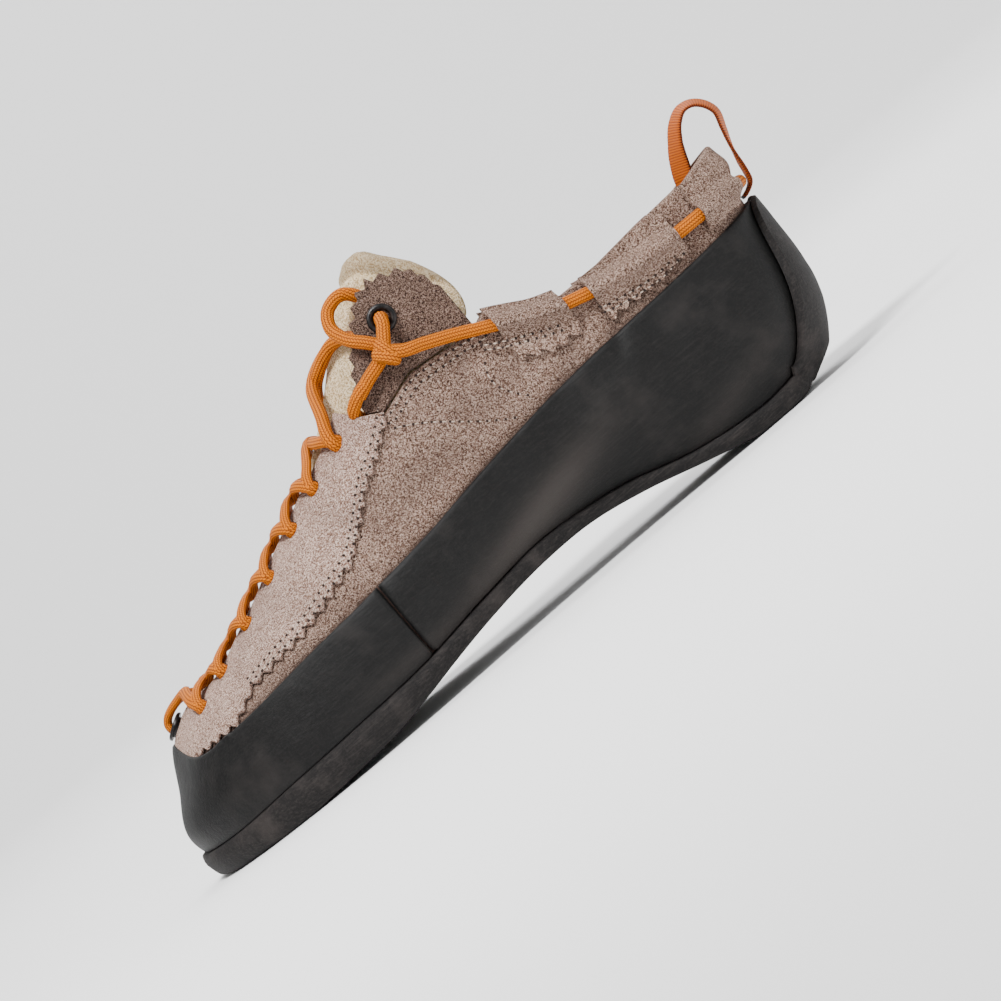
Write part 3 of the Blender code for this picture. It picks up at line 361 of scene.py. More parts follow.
# Station and level on one side of the foot that are seen at x and z.
def place(x, z, side, depth=0.0):
    v = 2.5
    for _ in range(5):
        u = sidePlace(x, v, side)
        v = levelAt(u, z, depth, low=0.0, high=5.5)[0]
    return u, v


# The station where this level of the wall has this x.
def sidePlace(x, v, side):
    fore, aft = (toeAt, 0.0) if side < 0 else (toeAt, float(stationCount))
    for _ in range(30):
        middle = (fore + aft) / 2
        if form(middle, v)[0, 0] < x:
            fore = middle
        else:
            aft = middle
    return (fore + aft) / 2


# Points along a smooth run through a row of given points, ends kept.
def smoothRows(points, steps):
    points = np.array(points)
    chord = np.linalg.norm(np.diff(points, axis=0), axis=1)[:, None]
    rise = np.diff(points, axis=0) / chord
    slope = np.empty_like(points)
    slope[1:-1] = (rise[:-1] * chord[1:] + rise[1:] * chord[:-1]) / (chord[:-1] + chord[1:])
    slope[0] = 2 * rise[0] - slope[1]
    slope[-1] = 2 * rise[-1] - slope[-2]
    made = []
    for i in range(len(chord)):
        for t in np.arange(steps) / steps:
            made.append(hermite(points[i], points[i + 1], slope[i], slope[i + 1], chord[i], t))
    return np.array(made + [points[-1]])


def collarLevel(u):
    return levelAt(u, line(collarEdge), low=1.0)


# A point on the leather and its outward direction.
def frameAt(u, v):
    return form(u, v)[0], outward(np.array([u]), np.array([v]))[0]


def holePlace(hole, side):
    u = sidePlace(hole.x * shoeLength, 3.6, side)
    span = np.linalg.norm(form(u, 4.0) - form(u, 3.0))
    return u, 4.0 - hole.inset * holeInset / span


# The middle of a lace that lies over the tongue's ridge, and the way up from the ridge.
def ridgePoint(x, thick):
    xs = np.array([row.xRidge for row in tongueRows]) * shoeLength
    zs = np.array([row.zRidge for row in tongueRows]) * shoeHeight
    slope = np.interp(x, (xs[1:] + xs[:-1]) / 2, np.diff(zs) / np.diff(xs))
    rise = np.array([-slope, 0, 1]) / np.hypot(slope, 1)
    return np.array([x, midLine(x), np.interp(x, xs, zs)]) + rise * (thick + ridgeLift), rise


# A lace stop over the leather: its place and its way up, as one row.
def onWall(u, v, lift):
    return np.concatenate([layer(u, v, lift)[0], frameAt(u, v)[1] * frameScale])


def overRidge(x, thick, lift):
    point, rise = ridgePoint(x, thick)
    return np.concatenate([point + rise * lift, rise * frameScale])


# The zigzag's strands, each with its half thickness: the pressed ones, then the top pair.
def crossingPaths():
    radius = laceWide / 2
    thick = radius * pressed
    onLeather = gap + overlayThick + thick + laceLift
    ends = {}
    for side in (-1, 1):
        for number, hole in enumerate(laceHoles):
            ends[side, number] = onWall(*holePlace(hole, side), onLeather)
    paths = []
    for number in range(len(laceHoles) - 1):
        ahead, behind = laceHoles[number + 1].x * shoeLength, laceHoles[number].x * shoeLength
        middle = (ahead + behind) / 2
        for side in (-1, 1):
            brims = [layer(sidePlace(middle, 4.0, edge), 4.0, onLeather)[0][2] for edge in (-1, 1)]
            low = ridgePoint(middle, thick)[0][2]
            lift = max(0, sum(brims) / 2 - throatDip - low) + crossLift * side
            over = overRidge(middle, thick, lift)
            near = sidePlace(behind * 0.75 + ahead * 0.25, 4.0, side)
            far = sidePlace(behind * 0.25 + ahead * 0.75, 4.0, -side)
            paths.append(([
                ends[side, number], onWall(near, 4.0, onLeather), over,
                onWall(far, 4.0, onLeather), ends[-side, number + 1],
            ], thick))
    for side in (-1, 1):
        seat = eyeletThick + gap * 2
        toe = onWall(toeAt, toeEyeletLevel, onLeather + seat)
        throat = onWall(toeAt + side * 0.3, 3.9, onLeather + seat)
        paths.append(([toe, throat, ends[side, len(laceHoles) - 1]], thick))
    for side in (-1, 1):
        underFlap = place(flapTuck.x * shoeLength, flapTuck.z * shoeHeight, side)
        tuck = onWall(*underFlap, -flapThick - radius - laceLift)
        near = overRidge(flapTuck.x * 1.08 * shoeLength, radius, laceLift * 5)
        near = near * 0.45 + tuck * 0.55
        first = laceHoles[0].x
        over = overRidge((flapTuck.x * 0.35 + first * 0.65) * shoeLength, radius, crossLift * (1 + side))
        rest = gap + overlayThick + radius + laceLift
        edge = onWall(sidePlace(first * 0.97 * shoeLength, 4.0, -side), 4.0, rest)
        paths.append(([tuck, near, over, edge, onWall(*holePlace(laceHoles[0], -side), rest)], radius))
    return paths


def midLine(x):
    return np.interp(x, [row.x * shoeLength for row in sections], [row.mid * shoeWidth for row in sections])


def eased(share):
    share = np.clip(share, 0, 1)
    return share * share * (3 - 2 * share)


def sawTooth(run):
    return np.abs(run % 1 - 0.5) * 2


def arcLength(points):
    return np.concatenate([[0], np.cumsum(np.linalg.norm(np.diff(points, axis=0), axis=1))])


def unitRows(rows):
    return rows / np.linalg.norm(rows, axis=-1)[..., None]


def newPiece(name, mesh, finish, smooth):
    # smooth: the angle in degrees from which an edge stays sharp
    mesh.shade_smooth()
    mesh.set_sharp_from_angle(angle=np.radians(smooth))
    mesh.materials.append(finish)
    piece = bpy.data.objects.new(name, mesh)
    bpy.context.scene.collection.objects.link(piece)
    return piece


def makeMesh(name, vertices, faces, finish, shade=None, smooth=50, weld=0.000001):
    mesh = bpy.data.meshes.new(name)
    mesh.from_pydata(np.asarray(vertices).tolist(), [], [list(map(int, face)) for face in faces])
    if shade is not None:
        tones = np.broadcast_to(shade, len(vertices)).astype(np.float32)
        mesh.attributes.new("shade", "FLOAT", "POINT").data.foreach_set("value", tones)
    work = bmesh.new()
    work.from_mesh(mesh)
    bmesh.ops.remove_doubles(work, verts=work.verts, dist=weld)
    bmesh.ops.dissolve_degenerate(work, edges=work.edges, dist=weld)
    bmesh.ops.recalc_face_normals(work, faces=work.faces)
    work.to_mesh(mesh)
    work.free()
    return newPiece(name, mesh, finish, smooth)


def gridFaces(rows, count, closedRows=False, closedCount=False, start=0):
    places = [np.arange(n if closed else n - 1) for n, closed in ((rows, closedRows), (count, closedCount))]
    row, column = np.meshgrid(*places, indexing="ij")
    row, column = row.ravel(), column.ravel()
    nextRow, nextColumn = (row + 1) % rows, (column + 1) % count
    corners = ((row, column), (nextRow, column), (nextRow, nextColumn), (row, nextColumn))
    return np.stack([r * count + c for r, c in corners], axis=1) + start


# A closed skin between two grids of points, columns of the given height, joined round their edges.
def shell(name, top, under, tall, finish, shade, closed=False):
    size = len(top)
    count = size // tall
    grid = gridFaces(count, tall, closedRows=closed)
    faces = [grid, grid[:, ::-1] + size]
    here = np.arange(count if closed else count - 1)
    following = (here + 1) % count
    edges = [(here * tall + row, following * tall + row) for row in (0, tall - 1)]
    if not closed:
        up = np.arange(tall - 1)
        edges += [(column + up, column + up + 1) for column in (0, (count - 1) * tall)]
    faces += [np.stack([a, b, size + b, size + a], axis=1) for a, b in edges]
    return makeMesh(name, np.concatenate([top, under]), np.concatenate(faces), finish, shade)


def finished(piece, *nodes, slot=None):
    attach(piece, "root")
    if nodes:
        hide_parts(*nodes)
    return piece


def applied(piece):
    bpy.context.view_layer.update()
    made = bpy.data.meshes.new_from_object(piece.evaluated_get(bpy.context.evaluated_depsgraph_get()))
    piece.modifiers.clear()
    piece.data = made


def combined(piece, other, how):
    step = piece.modifiers.new("combine", "BOOLEAN")
    step.operation, step.object, step.solver = how, other, "EXACT"
    applied(piece)


# sRGB hex to a linear colour
def linear(text):
    values = [int(text[k:k + 2], 16) / 255 for k in (0, 2, 4)]
    return tuple(v / 12.92 if v <= 0.04045 else ((v + 0.055) / 1.055) ** 2.4 for v in values) + (1.0,)


# A node with its settings and links. values: a number or a socket for each input. stops: a colour ramp's
# places, each with a hex colour or a grey, which may be above 1
def addNode(tree, kind, values=None, stops=(), **settings):
    made = tree.nodes.new(kind)
    for key, value in settings.items():
        setattr(made, key, value)
    for key, value in (values or {}).items():
        if isinstance(value, bpy.types.NodeSocket):
            tree.links.new(value, made.inputs[key])
        else:
            made.inputs[key].default_value = value
    if stops:
        points = made.color_ramp.elements
        while len(points) < len(stops):
            points.new(0.5)
        for point, (place, color) in zip(points, stops):
            point.position = place
            point.color = linear(color) if isinstance(color, str) else (color, color, color, 1)
    return made


# A finish and its noises on Object coordinates. lumps: each noise's width in metres, detail and roughness
def newFinish(name, lumps=(), **values):
    finish = bpy.data.materials.new(name)
    finish.use_nodes = True
    tree = finish.node_tree
    shader = tree.nodes["Principled BSDF"]
    for key, value in values.items():
        shader.inputs[key.replace("_", " ")].default_value = value
    where = addNode(tree, "ShaderNodeTexCoord").outputs["Object"]
    noises = []
    for wide, detail, rough in lumps:
        noises.append(addNode(tree, "ShaderNodeTexNoise", {
            "Vector": where, "Scale": 1 / wide, "Detail": detail, "Roughness": rough}).outputs["Fac"])
    return finish, tree, shader, noises


# Colour and relief of a finish. heights: sockets with their depths in metres. other: the colour that the
# mesh's own shade attribute
# draws it towards: painted shade on the leather, painted highlights on the rands, the tongue rim's tan and
# the heel strip's paler tone
def coat(tree, shader, color, heights, other=None):
    if other:
        shade = addNode(tree, "ShaderNodeAttribute", attribute_name="shade").outputs["Fac"]
        values = {0: shade, 6: color, 7: linear(other)}
        color = addNode(tree, "ShaderNodeMix", values, data_type="RGBA").outputs[2]
    tree.links.new(color, shader.inputs["Base Color"])
    relief = {}
    for height, depth in heights:
        values = {"Height": height, "Distance": depth, "Strength": 1.0, **relief}
        relief = {"Normal": addNode(tree, "ShaderNodeBump", values).outputs[0]}
    tree.links.new(relief["Normal"], shader.inputs["Normal"])


# Napped split leather: a speckle of fibre tufts over soft clouds, with painted shade in its folds and
# hollows. Real tufts of about
# 0.1 mm are too fine to show, so they are drawn at 0.3 mm, a pixel. Lengths in metres
napped = {"fibre": 0.62, "tuft": 0.38, "tuftWide": 2.0, "tuftDepth": 1.3, "depth": 0.00036, "cloud": 0.016,
          "cloudDepth": 0.0006, "cloudDark": 0.72, "cloudLight": 1.12}


def suedeFinish(name, dark, base, light, mottle=0.5, nap=0.00030, shadeColor="3E302B"):
    lumps = ((nap, 3.0, 0.65), (nap * napped["tuftWide"], 2.0, 0.6), (napped["cloud"], 3.0, 0.55))
    finish, tree, shader, (grain, tuft, cloud) = newFinish(
        name, lumps, Roughness=0.95, Specular_IOR_Level=0.15, Sheen_Weight=0.12, Sheen_Roughness=0.5,
        Sheen_Tint=linear(light))
    fibre = addNode(tree, "ShaderNodeMath", {0: grain, 1: napped["fibre"]}, operation="MULTIPLY")
    tufts = addNode(tree, "ShaderNodeMath", {0: tuft, 1: napped["tuft"]}, operation="MULTIPLY")
    speckle = addNode(tree, "ShaderNodeMath", {0: fibre.outputs[0], 1: tufts.outputs[0]}, operation="ADD")
    color = addNode(tree, "ShaderNodeValToRGB", {"Fac": speckle.outputs[0]},
                    ((0.42, dark), (0.50, base), (0.59, light))).outputs[0]
    clouds = addNode(tree, "ShaderNodeValToRGB", {"Fac": cloud},
                     ((0.32, napped["cloudDark"]), (0.68, napped["cloudLight"]))).outputs[0]
    mottled = addNode(tree, "ShaderNodeMix", {0: mottle, 6: color, 7: clouds}, data_type="RGBA",
                      blend_type="MULTIPLY").outputs[2]
    depth = napped["depth"]
    heights = ((cloud, napped["cloudDepth"]), (tuft, depth * napped["tuftDepth"]), (grain, depth))
    # the mesh's shade attribute draws the colour towards the shade colour: painted shade on the upper and
    # eyestay, the darker tan of the tongue's top rim
    coat(tree, shader, mottled, heights, shadeColor)
    return finish


# Moulded climbing rubber: matt black with soft clouds, dust and fine scuffs along the shoe, and painted
# highlights where the mesh's shade attribute asks for them. The scuffs are drawn 0.7 mm wide, because real
# ones are too fine to show. Lengths in metres
moulded = {"cloud": 0.022, "fine": 0.0007, "stretch": (0.07, 1.0, 1.0), "dustAndHighlight": 0.30, "paleRubber": "443E3B",
           "cloudDepth": 0.0008, "scuffDepth": 0.00016, "fineDepth": 0.00010}


def rubberFinish(name, dark, base, light, smoothest, roughest, scuff):
    lumps = ((moulded["cloud"], 4.0, 0.6), (moulded["fine"], 3.0, 0.6))
    finish, tree, shader, (cloud, fine) = newFinish(name, lumps, Specular_IOR_Level=0.2)
    where = addNode(tree, "ShaderNodeTexCoord").outputs["Object"]
    along = addNode(tree, "ShaderNodeMapping", {"Vector": where, "Scale": moulded["stretch"]}).outputs[0]
    lines = addNode(tree, "ShaderNodeTexNoise", {
        "Vector": along, "Scale": 1 / moulded["fine"], "Detail": 4.0, "Roughness": 0.7}).outputs["Fac"]
    color = addNode(tree, "ShaderNodeValToRGB", {"Fac": cloud},
                    ((0.30, dark), (0.55, base), (0.75, light))).outputs[0]
    wear = ((fine, ((0.45, 0.0), (0.75, moulded["dustAndHighlight"]))), (lines, ((0.48, 0.0), (0.70, scuff))))
    for lump, stops in wear:
        share = addNode(tree, "ShaderNodeValToRGB", {"Fac": lump}, stops).outputs[0]
        values = {0: share, 6: color, 7: linear(light)}
        color = addNode(tree, "ShaderNodeMix", values, data_type="RGBA").outputs[2]
    rough = addNode(tree, "ShaderNodeMapRange", {"Value": cloud, "To Min": smoothest, "To Max": roughest})
    tree.links.new(rough.outputs[0], shader.inputs["Roughness"])
    heights = ((cloud, moulded["cloudDepth"]), (lines, moulded["scuffDepth"]), (fine, moulded["fineDepth"]))
    # the shade attribute draws it towards the pale rubber colour: painted highlights on the rands, and the
    # heel strip paler all over
    coat(tree, shader, color, heights, moulded["paleRubber"])
    return finish


# Braided or woven polyester yarn: painted highlights on the crowns and painted shade in the grooves between
# them. Lengths in metres
yarn = {"fallAcross": 3.0, "fallAlong": 3.1, "fibre": 0.0004, "fibreShare": 0.35, "fibreDepth": 0.00006}

# The height of each yarn's crown, from a strand's map: neighbouring columns lean opposite ways. Each step has
# its name, what it does and the two values it works on
crownSteps = (
    ("across", "MULTIPLY", "u", "columns"), ("along", "DIVIDE", "v", "pick"),
    ("column", "FLOOR", "across", 0.0), ("odd", "FLOORED_MODULO", "column", 2.0),
    ("inColumn", "SUBTRACT", "across", "column"), ("x", "SUBTRACT", "inColumn", 0.5),
    ("slanted", "MULTIPLY", "x", "slant"), ("double", "MULTIPLY", "odd", 2.0),
    ("way", "SUBTRACT", "double", 1.0), ("lean", "MULTIPLY", "slanted", "way"),
    ("half", "MULTIPLY", "odd", 0.5), ("shifted", "ADD", "along", "half"),
    ("run", "ADD", "shifted", "lean"), ("inPick", "FRACT", "run", 0.0), ("y", "SUBTRACT", "inPick", 0.5),
    ("xSquare", "MULTIPLY", "x", "x"), ("ySquare", "MULTIPLY", "y", "y"),
    ("xFall", "MULTIPLY", "xSquare", "fallAcross"), ("yFall", "MULTIPLY", "ySquare", "fallAlong"),
    ("fall", "ADD", "xFall", "yFall"), ("left", "SUBTRACT", 1.0, "fall"),
    ("bounded", "MAXIMUM", "left", 0.0), ("height", "SQRT", "bounded", 0.0),
)


def yarnFinish(name, deep, base, light, columns, pick, slant, depth):
    finish, tree, shader, (fibre,) = newFinish(
        name, ((yarn["fibre"], 3.0, 0.6),), Roughness=0.62, Specular_IOR_Level=0.15)
    chart = addNode(tree, "ShaderNodeUVMap", uv_map="strand")
    places = addNode(tree, "ShaderNodeSeparateXYZ", {"Vector": chart.outputs[0]}).outputs
    made = {"u": places[0], "v": places[1], "columns": columns, "pick": pick, "slant": slant, **yarn}
    for step, how, a, b in crownSteps:
        values = {0: made.get(a, a), 1: made.get(b, b)}
        made[step] = addNode(tree, "ShaderNodeMath", values, operation=how).outputs[0]
    height = made["height"]
    # painted shade in the grooves and painted highlight on the crowns, from each crown's height
    color = addNode(tree, "ShaderNodeValToRGB", {"Fac": height},
                    ((0.10, deep), (0.55, base), (0.95, light))).outputs[0]
    fibres = addNode(tree, "ShaderNodeValToRGB", {"Fac": fibre}, ((0.3, 0.45), (0.7, 1.2))).outputs[0]
    spun = addNode(tree, "ShaderNodeMix", {0: yarn["fibreShare"], 6: color, 7: fibres}, data_type="RGBA",
                   blend_type="MULTIPLY").outputs[2]
    coat(tree, shader, spun, ((height, depth), (fibre, yarn["fibreDepth"])))
    return finish


# Enamel, thread and needle holes: two colours in soft lumps
def lumpedFinish(name, lump, dark, light, detail=2.0, rough=0.5, **values):
    finish, tree, shader, (lumps,) = newFinish(name, ((lump, detail, rough),), **values)
    color = addNode(tree, "ShaderNodeValToRGB", {"Fac": lumps}, (dark, light)).outputs[0]
    tree.links.new(color, shader.inputs["Base Color"])
    return finish, tree, shader, lumps


# eyestay: pale taupe split leather
suede = suedeFinish("taupeSuede", "50362A", "A6806E", "E6CFC2")
# upper and tunnels: the same hide, browner and more mottled
quarterSuede = suedeFinish("quarterSuede", "33221B", "846657", "CBB0A0", mottle=0.7)
# ankle flaps: dark brown split leather, made darker still as painted shade, since the flaps turn away from
# the light
flapSuede = suedeFinish("flapSuede", "1F1410", "58443A", "937A6D", mottle=0.6)
# tongue: cream split leather with a longer nap; its shade colour is the darker tan of the sewn top rim
creamSuede = suedeFinish("creamSuede", "A68A60", "DCC196", "F5E3C2", mottle=0.3, nap=0.0004, shadeColor="6B5844")
# inside of the upper: dark brown lining leather
liningSuede = suedeFinish("brownLining", "24130F", "3B221A", "55362B", mottle=0.4)
# insole: brown fibre board
boardFinish = suedeFinish("insoleBoard", "42322A", "604B38", "7B624A")
# rands: thin smooth climbing rubber
randRubber = rubberFinish("randRubber", "040404", "090909", "221F1E", 0.42, 0.68, 0.42)
# outsole: thick matt climbing rubber
soleRubber = rubberFinish("soleRubber", "0D0C0C", "171515", "383331", 0.6, 0.85, 0.55)
# laces: orange polyester braid
laceFinish = yarnFinish("laceBraid", "3A0E00", "9E4A00", "D47600", 12.0, 0.0009, 0.7, 0.00024)
# pull loop: orange woven tape
webFinish = yarnFinish("loopWebbing", "2C0800", "762C00", "B25400", 2.0, 0.0008, 0.0, 0.00014)
# eyelets: enamelled brass, black paint with faint rub marks
eyeletFinish, tree, shader, lumps = lumpedFinish(
    "blackEnamel", 0.0012, (0.45, "0E0D0E"), (0.75, "3A3432"), 4.0, 0.7, Metallic=0.55)
rough = addNode(tree, "ShaderNodeMapRange", {"Value": lumps, "To Min": 0.22, "To Max": 0.5})
tree.links.new(rough.outputs[0], shader.inputs["Roughness"])
# stitches: bonded polyester thread in the leather's own colour
threadFinish = lumpedFinish("stitchThread", 0.0006, (0.3, "9A8474"), (0.7, "D8C6B6"), Roughness=0.8)[0]
# needle holes: shadowed leather
holeFinish = lumpedFinish("needleHole", 0.0006, (0.3, "1E1512"), (0.7, "3A2B25"), Roughness=1.0)[0]


# Soft hollows and rolls, felt by every layer at the same place. x, z: middle as seen from the side, lean:
# its slant in degrees, long, wide: reach in metres, depth: metres inwards, side: -1, 1 or 0 for both
Hollow = namedtuple("Hollow", "x z lean long wide depth side")
hollows = [Hollow(*row) for row in (
    (-0.085, 0.450, 62, 0.011, 0.0030, 0.0009, 0), (-0.160, 0.440, 35, 0.018, 0.0040, 0.0007, 0),
    (-0.215, 0.520, 12, 0.016, 0.0050, 0.0008, 0), (-0.300, 0.560, -35, 0.020, 0.0050, 0.0006, 0),
    (-0.330, 0.450, -18, 0.024, 0.0060, 0.0007, 0), (-0.260, 0.330, 8, 0.030, 0.0070, 0.0008, 0),
    (-0.330, 0.245, 12, 0.040, 0.0065, 0.0010, 0), (-0.430, 0.250, -20, 0.022, 0.0050, -0.0006, 0),
    (-0.180, 0.260, 24, 0.030, 0.0060, -0.0007, 0), (-0.060, 0.300, 60, 0.018, 0.0070, 0.0007, 0),
    (0.020, 0.280, 80, 0.020, 0.0080, 0.0006, 0), (-0.560, 0.230, 10, 0.030, 0.0080, 0.0007, 0),
    (-0.680, 0.210, 4, 0.026, 0.0070, 0.0006, 0), (-0.750, 0.190, -10, 0.014, 0.0060, -0.0005, 0),
    (-0.455, 0.500, -45, 0.020, 0.0040, 0.0005, 0), (-0.560, 0.400, -38, 0.022, 0.0045, 0.0005, 0),
    (-0.650, 0.360, -28, 0.016, 0.0040, 0.0004, 0), (-0.510, 0.430, 48, 0.010, 0.0035, -0.0004, -1),
    (-0.020, 0.480, 10, 0.020, 0.0030, 0.0005, 0), (0.060, 0.560, 20, 0.010, 0.0030, 0.0004, 0),
    (-0.250, 0.600, 50, 0.008, 0.0030, 0.0006, -1), (-0.190, 0.470, -50, 0.010, 0.0030, -0.0005, 1),
    (0.138, 0.577, 90, 0.0052, 0.0110, -0.0028, 0),
)]
sideBlend = 0.006


def hollowField(points, rows=hollows):
    hand = np.tanh((points[:, 1] - midLine(points[:, 0])) / sideBlend)
    total = np.zeros(len(points))
    for row in rows:
        dx, dz = points[:, 0] - row.x * shoeLength, points[:, 2] - row.z * shoeHeight
        lean = np.radians(row.lean)
        a = dx * np.cos(lean) + dz * np.sin(lean)
        b = dz * np.cos(lean) - dx * np.sin(lean)
        near = np.exp(-((a / row.long) ** 2) - (b / row.wide) ** 2)
        share = 1 if row.side == 0 else np.clip(0.5 + row.side * hand, 0, 1)
        total += row.depth * near * share
    return total


def softLayer(u, v, depth):
    u, v = np.broadcast_arrays(np.asarray(u, float), np.asarray(v, float))
    u, v = u.ravel(), v.ravel()
    base = form(u, v)
    return base + outward(u, v) * (np.broadcast_to(depth, u.shape) - hollowField(base))[:, None]


fineSteps = 22
fineU = np.arange(stationCount * fineSteps) / fineSteps


def fineColumns(start, end):
    whole = np.concatenate([fineU - stationCount, fineU])
    inner = whole[(whole > start + 0.01) & (whole < end - 0.01)]
    return np.concatenate([[start], inner, [end]])


# Row places from 0 to 1, close together at the rounded rims
def edgeShares(span, thick, count):
    rim = np.array([0, 0.10, 0.35, 0.8, 1.6]) * thick / span
    middle = np.linspace(rim[-1], 1 - rim[-1], count)
    return np.concatenate([rim[:-1], middle, 1 - rim[:-1][::-1]])


# How far a rim of this radius draws in at a distance from its edge.
def rounded(distance, radius):
    near = radius - np.clip(distance, 0, radius)
    return radius - np.sqrt(np.maximum(radius**2 - near**2, 0))


# A soft sheet between two depths over columns u, from level low to level high, its rims rounded. span: its
# usual height. ends: its end columns are rounded too. extra: relief on its outside. shade: a function giving
# the share of the finish's second colour at each point, which paints shade on the upper and eyestay and
# highlights on the rands.
def makeSheet(name, u, low, high, inner, outer, finish, rowCount, span, closed=False, lowRim=True, ends=False,
              extra=None, shade=None):
    thick = outer - inner
    radius = thick / 2
    shares = edgeShares(span, thick, rowCount)
    v = low[:, None] + (high - low)[:, None] * shares[None, :]
    pull = rounded((1 - shares) * span, radius)
    if lowRim:
        pull = pull + rounded(shares * span, radius)
    pull = np.broadcast_to(pull, v.shape)
    if ends:
        along = arcLength(form(u, np.full(len(u), v.mean())))
        pull = np.maximum(pull, rounded(np.minimum(along, along[-1] - along), radius)[:, None])
    pull = np.minimum(pull, radius * 0.98).ravel()
    gridU, levels = np.repeat(u, v.shape[1]), v.ravel()
    top = softLayer(gridU, levels, outer - pull + (extra(gridU, levels) if extra else 0))
    tone = np.tile(shade(top, gridU), 2) if shade else 0
    return shell(name, top, softLayer(gridU, levels, inner + pull), v.shape[1], finish, tone, closed)


# The faces that look at the shoe's hollow get a second material.
def lineInside(piece, finish):
    piece.data.materials.append(finish)
    middle, normal = (np.zeros(len(piece.data.polygons) * 3) for _ in range(2))
    piece.data.polygons.foreach_get("center", middle)
    piece.data.polygons.foreach_get("normal", normal)
    middle, normal = middle.reshape(-1, 3), normal.reshape(-1, 3)
    hollow = np.stack([
        np.clip(middle[:, 0], -0.185, 0.010), midLine(middle[:, 0]), np.full(len(middle), 0.045)], axis=1)
    inward = ((hollow - middle) * normal).sum(axis=1) > 0
    piece.data.polygons.foreach_set("material_index", inward.astype(np.int32))


# A saw-tooth cut along an edge: how far in, in metres, at each column.
def pinked(u, v, pitch, deep):
    return deep * sawTooth(arcLength(form(u, v)) / pitch)


# A line seen from the side with teeth cut square to it, as a function of x.
def toothed(points, pitch, deep):
    places = np.array([(p.x * shoeLength, p.z * shoeHeight) for p in points])
    along = arcLength(places)
    run = np.linspace(0, along[-1], int(along[-1] / 0.0002))
    x, z = np.interp(run, along, places[:, 0]), np.interp(run, along, places[:, 1])
    slope = unitRows(np.stack([np.gradient(x), np.gradient(z)], axis=1))
    cut = deep * sawTooth(run / pitch) * np.clip(slope[:, 0] * 1.4, 0.62, 1)
    x, z = x + slope[:, 1] * cut, z - slope[:, 0] * cut
    x = np.maximum.accumulate(x + np.arange(len(x)) * 1e-9)
    return lambda at: np.interp(at, x, z)


# Metres for each level of the wall
def levelReach(u, v):
    return np.linalg.norm(form(u, v + 0.1) - form(u, v - 0.1), axis=1) / 0.2


# Camera: square to the little-toe side, rolled so that the toe points down and the heel up
view = {"x": -0.0814, "z": 0.0344, "roll": 39.93, "rise": 2.0, "frame": 0.3046, "lens": 135.0, "sensor": 36.0}
camera = bpy.data.objects.new("camera", bpy.data.cameras.new("camera"))
bpy.context.scene.collection.objects.link(camera)
bpy.context.scene.camera = camera
camera.data.lens, camera.data.sensor_width = view["lens"], view["sensor"]
rise, roll = np.radians(view["rise"]), np.radians(view["roll"])
level, up = np.array([1.0, 0, 0]), np.array([0, np.sin(rise), np.cos(rise)])
ahead = np.array([0, np.cos(rise), -np.sin(rise)])
right, upward = np.cos(roll) * level - np.sin(roll) * up, np.sin(roll) * level + np.cos(roll) * up
spot = np.array([view["x"], 0, view["z"]]) - ahead * view["frame"] * view["lens"] / view["sensor"]
axes = np.stack([right, upward, -ahead, spot], axis=1)
camera.matrix_world = Matrix(np.concatenate([axes, [[0, 0, 0, 1]]]).tolist())
print("camera set")


# Laces: soft ribbed tubes with a map that runs once round the strand and along it in metres
braid = {"sides": 24, "step": 0.00045, "rib": 0.00010, "ribs": 5}


def evenly(rows, step):
    rows = np.array(rows)
    along = arcLength(rows[:, :3])
    places = np.linspace(0, along[-1], max(4, int(along[-1] / step)))
    return np.stack([np.interp(places, along, rows[:, k]) for k in range(rows.shape[1])], axis=1), places


# Vertices, faces and map of a strand, from its rings and their places along it
def strandPart(rings, places):
    count, sides = rings.shape[:2]
    faces = gridFaces(count, sides, closedCount=True)
    row, column = faces[:, 0] // sides, faces[:, 0] % sides
    ring = np.stack([column, column, column + 1, column + 1], axis=1) / sides
    run = places[np.stack([row, row + 1, row + 1, row], axis=1)]
    caps = [list(range(sides)), list(range((count - 1) * sides, count * sides))]
    chart = np.concatenate([np.stack([ring, run], axis=2).reshape(-1, 2), np.zeros((2 * sides, 2))])
    return rings.reshape(-1, 3), faces.tolist() + caps, chart


# A strand from rows of places and their ways up.
def strandTube(rows, wide, thick):
    rows, places = evenly(rows, braid["step"])
    points = rows[:, :3]
    along = unitRows(np.gradient(points, axis=0))
    across = unitRows(np.cross(along, rows[:, 3:6]))
    ups = np.cross(across, along)
    turn = 2 * np.pi * np.arange(braid["sides"]) / braid["sides"] - np.pi / 2
    rib = braid["rib"] * (np.abs(np.cos(turn * braid["ribs"])) - 1)
    beside, above = np.cos(turn) * (wide + rib), np.sin(turn) * (thick + rib)
    rings = points[:, None] + across[:, None] * beside[None, :, None] + ups[:, None] * above[None, :, None]
    return strandPart(rings, places)


def joinStrands(name, strands, finish):
    faces, start = [], 0
    for points, loops, chart in strands:
        faces += [[k + start for k in loop] for loop in loops]
        start += len(points)
    mesh = bpy.data.meshes.new(name)
    mesh.from_pydata(np.concatenate([points for points, loops, chart in strands]).tolist(), [], faces)
    charts = np.concatenate([chart for points, loops, chart in strands]).astype(np.float32)
    mesh.uv_layers.new(name="strand").data.foreach_set("uv", charts.ravel())
    work = bmesh.new()
    work.from_mesh(mesh)
    bmesh.ops.recalc_face_normals(work, faces=work.faces)
    work.to_mesh(mesh)
    work.free()
    return newPiece(name, mesh, finish, 70)


def placeStop(stop, side):
    u, v = place(stop.x * shoeLength, stop.z * shoeHeight, side)
    return u, v, layer(u, v, stop.out * laceWide / 2)[0]


